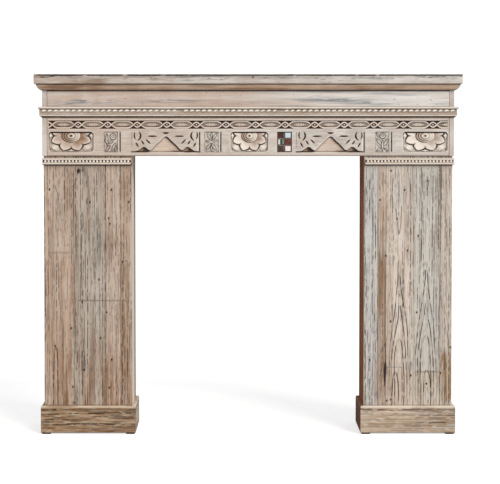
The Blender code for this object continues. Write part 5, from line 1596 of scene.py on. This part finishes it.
# What shows on each leg, in metres of the shared frame: joints by x, butt joints as start, end and height,
# nails as points, arches as middle, tip, half width, rise and count, strokes and the crack as lines of points,
# rust as middle and half sizes, and brown, cool and pale spots as middle, half sizes and strength
LEG_RECIPES = {
    "left": {
        "seed": 200,
        "joints": (-0.6104, -0.4988, -0.4459),
        "plank_tones": ((198, 166, 142), (180, 172, 160), (212, 184, 164), (178, 146, 118)),
        "butts": ((-0.69, -0.612, 0.638), (-0.597, -0.43, 0.47)),
        "nails": (
            (-0.597, 0.925), (-0.695, 0.86), (-0.479, 0.858), (-0.554, 0.815), (-0.417, 0.816),
            (-0.488, 0.759), (-0.485, 0.739), (-0.44, 0.606), (-0.523, 0.543), (-0.582, 0.463),
            (-0.497, 0.428), (-0.621, 0.372), (-0.518, 0.337), (-0.677, 0.309), (-0.479, 0.261),
            (-0.576, 0.225), (-0.616, 0.165), (-0.488, 0.162), (-0.612, 0.109),
        ),
        "arches": ((-0.6745, 0.305, 0.008, 0.02, 1),),
        "strokes": (
            ((-0.676, 0.872), (-0.666, 0.845), (-0.662, 0.82)),
            ((-0.6, 0.9), (-0.605, 0.882), (-0.616, 0.868)),
            ((-0.424, 0.612), (-0.436, 0.606), (-0.446, 0.594)),
        ),
        "rust": ((-0.6, 0.925, 0.02, 0.012),),
        "crack": (),
        "brown": (
            (-0.615, 0.55, 0.012, 0.2, 0.9), (-0.605, 0.93, 0.03, 0.025, 0.8),
            (-0.52, 0.94, 0.12, 0.012, 0.5), (-0.52, 0.67, 0.006, 0.05, 0.7),
            (-0.441, 0.28, 0.009, 0.2, 1.0), (-0.542, 0.26, 0.009, 0.17, 0.9),
            (-0.56, 0.15, 0.1, 0.025, 0.7), (-0.68, 0.6, 0.012, 0.25, 0.5),
            (-0.44, 0.6, 0.016, 0.14, 0.5), (-0.64, 0.14, 0.05, 0.03, 0.6),
            (-0.43, 0.85, 0.014, 0.1, 0.45), (-0.6, 0.3, 0.01, 0.14, 0.6), (-0.5, 0.22, 0.012, 0.1, 0.5),
        ),
        "cool": (
            (-0.535, 0.67, 0.04, 0.1, 0.8), (-0.53, 0.35, 0.06, 0.14, 0.45),
            (-0.64, 0.78, 0.04, 0.08, 0.35),
        ),
        "cool_tone": (152, 150, 140),
        "pale": (
            (-0.413, 0.5, 0.005, 0.6, 1.0), (-0.545, 0.82, 0.05, 0.1, 0.5),
            (-0.65, 0.45, 0.03, 0.15, 0.3),
        ),
        "stain_share": 0.6,
        "low_stain": 0.2,
    },
    "right": {
        "seed": 300,
        "joints": (0.4543, 0.4835, 0.5796, 0.6731),
        "plank_tones": (
            (196, 194, 192), (190, 156, 126), (226, 206, 188), (202, 198, 186), (196, 172, 148),
        ),
        "butts": ((0.592, 0.672, 0.218), (0.484, 0.545, 0.235)),
        "nails": (
            (0.5, 0.925), (0.629, 0.89), (0.548, 0.858), (0.462, 0.823), (0.522, 0.757), (0.596, 0.697),
            (0.559, 0.645), (0.483, 0.627), (0.592, 0.428), (0.5, 0.396), (0.711, 0.305), (0.427, 0.26),
            (0.676, 0.214), (0.572, 0.205), (0.627, 0.176), (0.488, 0.116), (0.502, 0.12),
        ),
        "arches": (
            (0.531, 0.333, 0.017, 0.12, 3), (0.624, 0.347, 0.018, 0.115, 3),
            (0.516, 0.215, 0.013, 0.03, 1), (0.628, 0.225, 0.014, 0.03, 1),
        ),
        "strokes": (
            ((0.517, 0.79), (0.522, 0.745), (0.529, 0.703)),
            ((0.538, 0.8), (0.535, 0.74), (0.53, 0.703)), ((0.508, 0.9), (0.503, 0.84), (0.506, 0.78)),
            ((0.626, 0.905), (0.632, 0.88), (0.626, 0.86)),
        ),
        "rust": (),
        "crack": ((0.4835, 0.262), (0.4812, 0.225), (0.48, 0.17)),
        "brown": (
            (0.466, 0.66, 0.01, 0.3, 0.95), (0.478, 0.3, 0.009, 0.18, 0.9),
            (0.693, 0.19, 0.014, 0.1, 0.8), (0.455, 0.2, 0.016, 0.1, 0.6),
            (0.575, 0.26, 0.014, 0.14, 0.55), (0.6, 0.6, 0.012, 0.14, 0.5),
            (0.655, 0.55, 0.01, 0.22, 0.45), (0.5, 0.5, 0.01, 0.16, 0.45), (0.6, 0.14, 0.05, 0.02, 0.35),
            (0.49, 0.93, 0.06, 0.014, 0.35), (0.666, 0.78, 0.016, 0.2, 0.8),
            (0.545, 0.86, 0.006, 0.09, 0.6), (0.568, 0.84, 0.007, 0.09, 0.9),
        ),
        "cool": (
            (0.435, 0.8, 0.016, 0.12, 0.9), (0.526, 0.83, 0.01, 0.06, 0.9),
            (0.435, 0.45, 0.016, 0.45, 0.55), (0.66, 0.45, 0.04, 0.22, 0.45),
            (0.6, 0.85, 0.09, 0.1, 0.35),
        ),
        "cool_tone": (174, 177, 178),
        "pale": (
            (0.411, 0.5, 0.004, 0.6, 0.9), (0.435, 0.5, 0.014, 0.5, 0.55), (0.62, 0.5, 0.06, 0.3, 0.35),
        ),
        "stain_share": 0.42,
        "low_stain": 0.08,
    },
}


def grain_lines(x, z, seed, spacing=(0.0034, 0.0074), widths=(0.0007, 0.0013)):
    """Dark open grain: thin broken lines along z, a little wavy, this far apart across x."""
    rng = np.random.default_rng(seed)
    total = np.zeros_like(x)
    z = z[:, :1] if np.ptp(z[0]) < 0.05 else z
    place = x.min() + 0.002
    number = 0
    while place < x.max() - 0.001:
        width, strength, sway = rng.uniform((widths[0], 0.45, 0.0010), (widths[1], 1.0, 0.0040))
        path = place + sway * (patches(z * 0 + number, z, 1.0, 0.20, seed + 3, 1) - 0.5) * 2
        stretch = ease(0.32, 0.56, patches(z * 0 + number * 1.7, z, 1.0, 0.16, seed + 5, 1))
        broken = 0.30 + 0.70 * ease(0.35, 0.50, patches(z * 0 + number * 2.3, z, 1.0, 0.014, seed + 7, 1))
        total = np.maximum(total, strength * band(x - path, width) * stretch * broken)
        place += rng.uniform(*spacing)
        number += 1
    return total


def grain_arches(x, z, arches, seed):
    """Cathedral figure: narrow rounded arches, tips up, one inside another, that run down almost straight."""
    total = np.zeros_like(x)
    for number, (middle, tip, half, rise, count) in enumerate(arches):
        lean = middle + 0.006 * (patches(z * 0, z, 1.0, 0.12, seed + number) - 0.5)
        for ring in range(count):
            level = tip + rise * ring
            below = np.clip(level - z, 0, None)
            reached = (below / (0.045 + 0.07 * ring)) ** (1.0 if ring == 0 else 1.9)
            neck = 0.003 * (ring > 0)
            opening = (1 - np.exp(-reached)) ** (0.5 if ring == 0 else 1)
            spread = (half * (1 + 0.55 * ring) - neck) * opening + neck
            wobble = 0.0012 * (patches(x * 0, z, 1.0, 0.03, seed + 40 + ring) - 0.5)
            reach = np.abs(np.abs(x - lean) - spread + wobble)
            fade = (z < level) * (1 - ease(0.20, 0.30 + 0.1 * ring, level - z))
            broken = 0.45 + 0.55 * ease(0.3, 0.5, patches(x, z, 0.02, 0.015, seed + 9 + ring))
            total = np.maximum(total, band(reach, 0.0014) * fade * broken)
    return total


def leg_marks(x, z, recipe):
    """The dark marks on a leg's front: open grain, joints, nails, pores, rust and a crack."""
    seed = recipe["seed"]
    arches = grain_arches(x, z, recipe["arches"], seed + 20)
    lines = grain_lines(x, z, seed) * (1 - 0.6 * blurred(arches, 2))
    for middle, tip, half, _, _ in recipe["arches"]:
        figure = np.exp(-(((x - middle) / (2.0 * half)) ** 4) - ((z - tip) / 0.10) ** 4)
        lines = lines * (1 - 0.45 * figure)
    joints = np.zeros_like(x)
    for number, place in enumerate(recipe["joints"]):
        waver = place + 0.0012 * (patches(z * 0, z, 1.0, 0.15, seed + 30 + number) - 0.5)
        open_share = 0.45 + 0.55 * ease(0.35, 0.65, patches(z * 0, z, 1.0, 0.05, seed + 35 + number, 1))
        joints = np.maximum(joints, band(x - waver, 0.0011) * open_share)
    for start, end, level in recipe["butts"]:
        joints = np.maximum(joints, band(z - level, 0.0022) * ((x > start) & (x < end)) * 0.5)
    nails = np.zeros_like(x)
    for place, level in recipe["nails"]:
        spot = ((x - place) / 0.0032) ** 2 + ((z - level) / 0.0040) ** 2
        nails = np.maximum(nails, np.exp(-spot ** 1.5))
    for points in recipe["strokes"]:
        arches = np.maximum(arches, 0.65 * band(near_line(x, z, points)[0], 0.0013))
    rust = np.zeros_like(x)
    for place, level, half_x, half_z in recipe["rust"]:
        spot = np.exp(-(((x - place) / half_x) ** 2) - (((z - level) / half_z) ** 2))
        rust = ease(0.45, 0.75, patches(x, z, 0.010, 0.014, seed + 44, 1)) * spot
    crack = np.zeros_like(x)
    if recipe["crack"]:
        away, share = near_line(x, z, recipe["crack"])
        crack = band(away, 0.0050 * np.sin(np.pi * np.clip(share, 0.08, 0.92)))
    pores = ease(0.62, 0.84, patches(x, z, 0.0022, 0.022, seed + 40, 1)) * 0.40
    return {
        "lines": lines, "arches": arches, "joints": joints, "nails": nails, "pores": pores, "rust": rust,
        "crack": crack,
    }


def left_leg_tints(x, z):
    """Warm streaks, strongest low on the left leg."""
    warm = ease(0.35, 0.70, patches(x, z, 0.009, 0.25, 244, 1))
    return [
        (warm * (1 - ease(0.10, 0.62, z)) * 0.62, (152, 110, 74)),
        (warm * ease(0.5, 0.9, z) * 0.3, (186, 156, 134)),
    ]


def right_leg_tints(x, z):
    """The tan board low on the right, the brown ones beside the crack, and the cleaner low boards."""
    tan = ease(0.675, 0.681, x) * ease(0.105, 0.13, z) * (1 - ease(0.27, 0.30, z))
    brown_board = ease(0.454, 0.458, x) * (1 - ease(0.482, 0.486, x)) * (1 - ease(0.60, 0.68, z))
    beside_crack = 0.5 * ease(0.484, 0.490, x) * (1 - ease(0.500, 0.512, x)) * (1 - ease(0.45, 0.60, z))
    brown = np.maximum(brown_board, beside_crack)
    low_boards = ease(0.484, 0.490, x) * (1 - ease(0.668, 0.674, x)) * (1 - ease(0.218, 0.226, z))
    worn = 0.15 + 0.6 * patches(x, z, 0.008, 0.05, 346, 1)
    stripes = 0.20 + 0.80 * ease(0.30, 0.70, patches(x, z, 0.0050, 0.16, 348, 1))
    high_spot = np.exp(-(((x - 0.478) / 0.022) ** 2) - ((z - 0.80) / 0.09) ** 2)
    return [
        (high_spot * stripes * 0.6, (190, 160, 132)),
        (low_boards * worn, (206, 182, 160)),
        (tan * stripes, (156, 120, 82)),
        (brown * stripes * 0.85, (142, 112, 84)),
    ]


LEG_TINTS = {"left": left_leg_tints, "right": right_leg_tints}


def dress_leg(side, label):
    """A leg's front: narrow planks edge to edge, with open grain, knots, nail holes and worn wash."""
    recipe = LEG_RECIPES[label]
    seed = recipe["seed"]
    left = min(side * LEG_OUTER_X, side * LEG_INNER_X)
    right = max(side * LEG_OUTER_X, side * LEG_INNER_X)
    xs = grid_lines(left, (left + 0.0014, 0.0007), (right - 0.0014, 0.00135), (right, 0.0007))
    zs = grid_lines(
        LEG_BOTTOM_Z, (LEG_BOTTOM_Z + 0.001, 0.001), (PLINTH_TOP_Z - 0.006, 0.03),
        (CAPITAL_BOTTOM_Z + 0.002, 0.0038), (LEG_TOP_Z, 0.01),
    )
    x, z = np.meshgrid(xs, zs)
    marks = leg_marks(x, z, recipe)
    # A painted shadow under the capital moulding.
    capital_shadow = np.exp(-((CAPITAL_BOTTOM_Z - z) / 0.006)) * (z < CAPITAL_BOTTOM_Z + 0.003) * 0.75
    above_plinth = np.exp(-np.clip(z - PLINTH_TOP_Z, 0, None) / 0.003) * 0.45
    dark = np.maximum.reduce([
        marks["lines"], marks["arches"], marks["joints"] * 0.9, marks["nails"], marks["pores"], marks["rust"],
        marks["crack"], np.clip(capital_shadow, 0, 1), above_plinth,
    ])
    cut_shares = {"lines": 0.35, "arches": 0.35, "joints": 0.8, "nails": 1.6, "crack": 2.2}
    cut = np.maximum.reduce([marks[name] * share for name, share in cut_shares.items()])
    height = -edge_ease(x, z, 0.0016) - 0.0006 * cut - 0.0003 * patches(x, z, 0.008, 0.08, seed + 50, 1)
    brown = smears_upright(x, z, recipe["brown"], seed + 60)
    top_brown = ease(0.80, 0.94, z) * 0.35 * patches(x, z, 0.02, 0.03, seed + 63, 1)
    general = ease(0.50, 0.78, patches(x, z, 0.012, 0.16, seed + 64, 2)) * recipe["stain_share"]
    general = general + (1 - ease(0.15, 0.50, z)) * recipe["low_stain"]
    edge_rub = ease(0.0045, 0.0010, np.minimum(x - left, right - x)) * 0.6
    pale = np.maximum(smears_upright(x, z, recipe["pale"], seed + 80, 0.0), edge_rub)
    pale = np.maximum(pale, ease(0.55, 0.80, patches(x, z, 0.006, 0.06, seed + 84, 2)) * 0.75)
    plank_share = 0.20 + 0.35 * patches(x, z, 0.02, 0.25, seed + 95, 1)
    edges = (left, *recipe["joints"], right)
    layers = [
        (((x >= start) & (x < end)) * plank_share, tone)
        for start, end, tone in zip(edges[:-1], edges[1:], recipe["plank_tones"])
    ]
    layers.append((smears_upright(x, z, recipe["cool"], seed + 90) * 0.8, recipe["cool_tone"]))
    layers += LEG_TINTS[label](x, z)
    layers.append((marks["crack"] * 0.9, (34, 21, 13)))
    masks = {
        "dark": np.clip(dark, 0, 1),
        "stain": np.clip(np.maximum.reduce([brown, top_brown, general]), 0, 1),
        "chalk": np.clip(pale * 0.75, 0, 1),
        "tint": painted(layers, x.shape),
    }
    name = f"planked_front_{label}"
    mesh = make_front_board(name, xs, zs, height, LEG_FRONT_Y, LEG_FRONT_THICKNESS, masks)
    piece = finish_piece(name, mesh, LEG_FINISHES[label])
    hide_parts(f"leg_front_{label}")


def smears_upright(x, z, spots, seed, ragged=1.0):
    """Upright patches of wear or stain; each spot is its middle, half width, half height and strength."""
    total = np.zeros_like(x)
    for number, (middle_x, middle_z, half_x, half_z, strength) in enumerate(spots):
        away = ((x - middle_x) / half_x) ** 2 + ((z - middle_z) / half_z) ** 2
        broken = ease(0.25, 0.65, patches(x, z, 0.004, 0.06, seed + number, 1))
        total = np.maximum(total, strength * np.exp(-away) * (1 - ragged + ragged * broken))
    return total


def dress_plinths():
    """The plinth boards, horizontal grain, with pale tops, lighter paint with a painted highlight, and dark
    grooves.
    """
    rise = PLINTH_TOP_Z - LEG_BOTTOM_Z
    radius = 0.005
    rows = [(LEG_BOTTOM_Z + 0.0005, PLINTH_THICKNESS - 0.0006), (LEG_BOTTOM_Z + 0.0014, PLINTH_THICKNESS)]
    rows += [(z, PLINTH_THICKNESS) for z in spaced(LEG_BOTTOM_Z + 0.003, PLINTH_TOP_Z - radius, 0.0015)]
    for step in range(1, 7):
        angle = 0.5 * math.pi * step / 6
        level = PLINTH_TOP_Z - radius * (1 - math.sin(angle))
        rows.append((level, PLINTH_THICKNESS - radius * (1 - math.cos(angle))))
    rows += [(PLINTH_TOP_Z, PLINTH_THICKNESS - radius - 0.003)]
    front_y = LEG_FRONT_Y - GAP
    for side, label in ((-1, "left"), (1, "right")):
        outer = side * (LEG_OUTER_X + GAP)
        inner = side * (LEG_INNER_X - GAP)
        other = "right" if label == "left" else "left"
        runs = {
            "front": Run(min(outer, inner), max(outer, inner), (True, True), "front", front_y),
            "outer": Run(front_y, BACK_Y, (True, False), label, outer),
            "inner": Run(front_y, BACK_Y, (True, False), other, inner),
        }
        for number, (part, run) in enumerate(runs.items()):
            seed = 400 + 20 * number + (7 if side > 0 else 0)
            dirt_share = 1.0 if side < 0 else 0.45

            def grooves(along, height, seed=seed, dirt_share=dirt_share):
                fine = patches(along, height, 0.05, 0.0030, seed, 1)
                lines = grain_lines(height, along, seed, (0.0036, 0.0078), (0.0011, 0.0021))
                pitted = ease(0.58, 0.78, fine) * dirt_share * 0.45
                return np.maximum(pitted, lines * (0.48 + 0.64 * dirt_share))

            def wear(along, height, grooves=grooves, seed=seed):
                low = 0.0006 * np.clip(grooves(along, height), 0, 1)
                dents = 0.0010 * ease(0.72, 0.9, patches(along, height, 0.014, 0.008, seed + 2))
                at_top = np.exp(-(PLINTH_TOP_Z - height) / 0.004)
                return low + dents * (0.2 + at_top)

            def masks(along, height, grooves=grooves, seed=seed):
                level = (height - LEG_BOTTOM_Z) / rise
                worn = patches(along, height, 0.03, 0.006, seed + 3, 1)
                # The rounded top is pale: lighter paint on the ledge and a painted highlight from above.
                top = ease(0.915, 0.955, level + 0.03 * (worn - 0.5))
                below_top = band(level - 0.885, 0.016) * ease(0.35, 0.6, worn)
                foot = (1 - ease(0.0, 0.05, level)) * 0.5
                dark = np.maximum.reduce([np.clip(grooves(along, height), 0, 1), below_top * 0.9, foot])
                stained = ease(0.35, 0.70, patches(along, height, 0.08, 0.012, seed + 4, 1))
                return {
                    "dark": np.clip(dark * (1 - top), 0, 1),
                    "chalk": np.clip(top + 0.85 * ease(0.45, 0.75, worn), 0, 1),
                    "stain": dirt_share * 0.8 * stained,
                }

            name = f"worn_plinth_{part}_{label}"
            mesh = make_run(name, run, rows, 0.0035, wear, masks)
            finish = {
                "front": PLINTH_FINISHES, "outer": PLINTH_RETURN_FINISHES, "inner": INNER_PLINTH_FINISHES,
            }[part][label]
            piece = finish_piece(name, mesh, finish, 50.0)
            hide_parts(f"plinth_{part}_{label}")


def finish_plain_boards():
    """The boards whose solids are right as they are get their wood."""
    finishes = {
        "header_end_left": HEADER_END_FINISH, "header_end_right": HEADER_END_FINISH,
        "header_underboard": BARE_FINISH,
        "leg_outer_left": LEG_SIDE_FINISH, "leg_outer_right": LEG_SIDE_FINISH,
        "leg_inner_left": JAMB_FINISHES["left"], "leg_inner_right": JAMB_FINISHES["right"],
    }
    for name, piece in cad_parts.items():
        if name.startswith("foot_pad"):
            finishes[name] = FELT_FINISH
        if name in finishes:
            piece.data.materials.clear()
            piece.data.materials.append(finishes[name])


# The camera, in millimetres for the lens, metres for its place and degrees for its tilt
LENS_LENGTH = 107.3
SENSOR_WIDTH = 36.0
LENS_SHIFT = (0.037, -0.135)
FARTHEST_SEEN = 100.0
EYE_PLACE = (-0.058, -5.292, 1.095)
EYE_TILT = 2.01

# The studio: how bright its paper and its surround are, and the sun's angles in degrees
FLOOR_REACH = 30
PAPER_GREY = 0.5
PAPER_GLOW = 0.66
SURROUND_LIGHT = 0.55
SURROUND_SEEN = 1.05
SUN_STRENGTH = 2.35
SUN_SPREAD = 24
SUN_TILT = 52
SUN_TURN = 38
SUN_COLOUR = (1.0, 0.985, 0.96)
WHITE = (1.0, 1.0, 1.0, 1.0)


def make_camera():
    """The camera stands in front, a little left of the middle, at chest height and tilted slightly down."""
    lens = bpy.data.cameras.new("eye")
    lens.lens = LENS_LENGTH
    lens.sensor_width = SENSOR_WIDTH
    lens.shift_x, lens.shift_y = LENS_SHIFT
    lens.clip_end = FARTHEST_SEEN
    eye = bpy.data.objects.new("eye", lens)
    eye.location = EYE_PLACE
    eye.rotation_euler = (math.radians(90 - EYE_TILT), 0.0, 0.0)
    bpy.context.scene.collection.objects.link(eye)
    bpy.context.scene.camera = eye


def make_studio():
    """A pale floor, a white surround and a soft key light from the right."""
    mesh = bpy.data.meshes.new("floor")
    corners = ((-1, -1), (1, -1), (1, 1), (-1, 1))
    mesh.from_pydata([(x * FLOOR_REACH, y * FLOOR_REACH, 0) for x, y in corners], [], [(0, 1, 2, 3)])
    floor = bpy.data.objects.new("floor", mesh)
    bpy.context.scene.collection.objects.link(floor)
    paper = bpy.data.materials.new("pale_paper")
    paper.use_nodes = True
    shader = paper.node_tree.nodes["Principled BSDF"]
    shader.inputs["Base Color"].default_value = (PAPER_GREY, PAPER_GREY, PAPER_GREY, 1.0)
    shader.inputs["Emission Color"].default_value = WHITE
    seen_by = paper.node_tree.nodes.new("ShaderNodeLightPath")
    glow = Nodes(paper.node_tree).math("MULTIPLY", seen_by.outputs["Is Camera Ray"], PAPER_GLOW)
    paper.node_tree.links.new(glow, shader.inputs["Emission Strength"])
    shader.inputs["Roughness"].default_value = 0.9
    shader.inputs["Specular IOR Level"].default_value = 0.1
    mesh.materials.append(paper)
    world = bpy.data.worlds.new("studio")
    world.use_nodes = True
    tree = world.node_tree
    sky = tree.nodes["Background"]
    sky.inputs["Color"].default_value = WHITE
    sky.inputs["Strength"].default_value = SURROUND_LIGHT
    seen = tree.nodes.new("ShaderNodeBackground")
    seen.inputs["Color"].default_value = WHITE
    seen.inputs["Strength"].default_value = SURROUND_SEEN
    path = tree.nodes.new("ShaderNodeLightPath")
    mix = tree.nodes.new("ShaderNodeMixShader")
    tree.links.new(path.outputs["Is Camera Ray"], mix.inputs[0])
    tree.links.new(sky.outputs[0], mix.inputs[1])
    tree.links.new(seen.outputs[0], mix.inputs[2])
    tree.links.new(mix.outputs[0], tree.nodes["World Output"].inputs["Surface"])
    bpy.context.scene.world = world
    key = bpy.data.lights.new("key", "SUN")
    key.energy = SUN_STRENGTH
    key.angle = math.radians(SUN_SPREAD)
    key.color = SUN_COLOUR
    lamp = bpy.data.objects.new("key", key)
    lamp.rotation_euler = (math.radians(SUN_TILT), 0.0, math.radians(SUN_TURN))
    bpy.context.scene.collection.objects.link(lamp)
    bpy.context.scene.view_settings.view_transform = "Standard"
    bpy.context.scene.view_settings.look = "None"


make_camera()
make_studio()
dress_frieze()
dress_bed_mouldings()
dress_capitals()
dress_quarter_rounds()
dress_shelf()
dress_fascia()
dress_leg(-1, "left")
dress_leg(1, "right")
dress_plinths()
finish_plain_boards()

bpy.context.view_layer.update()
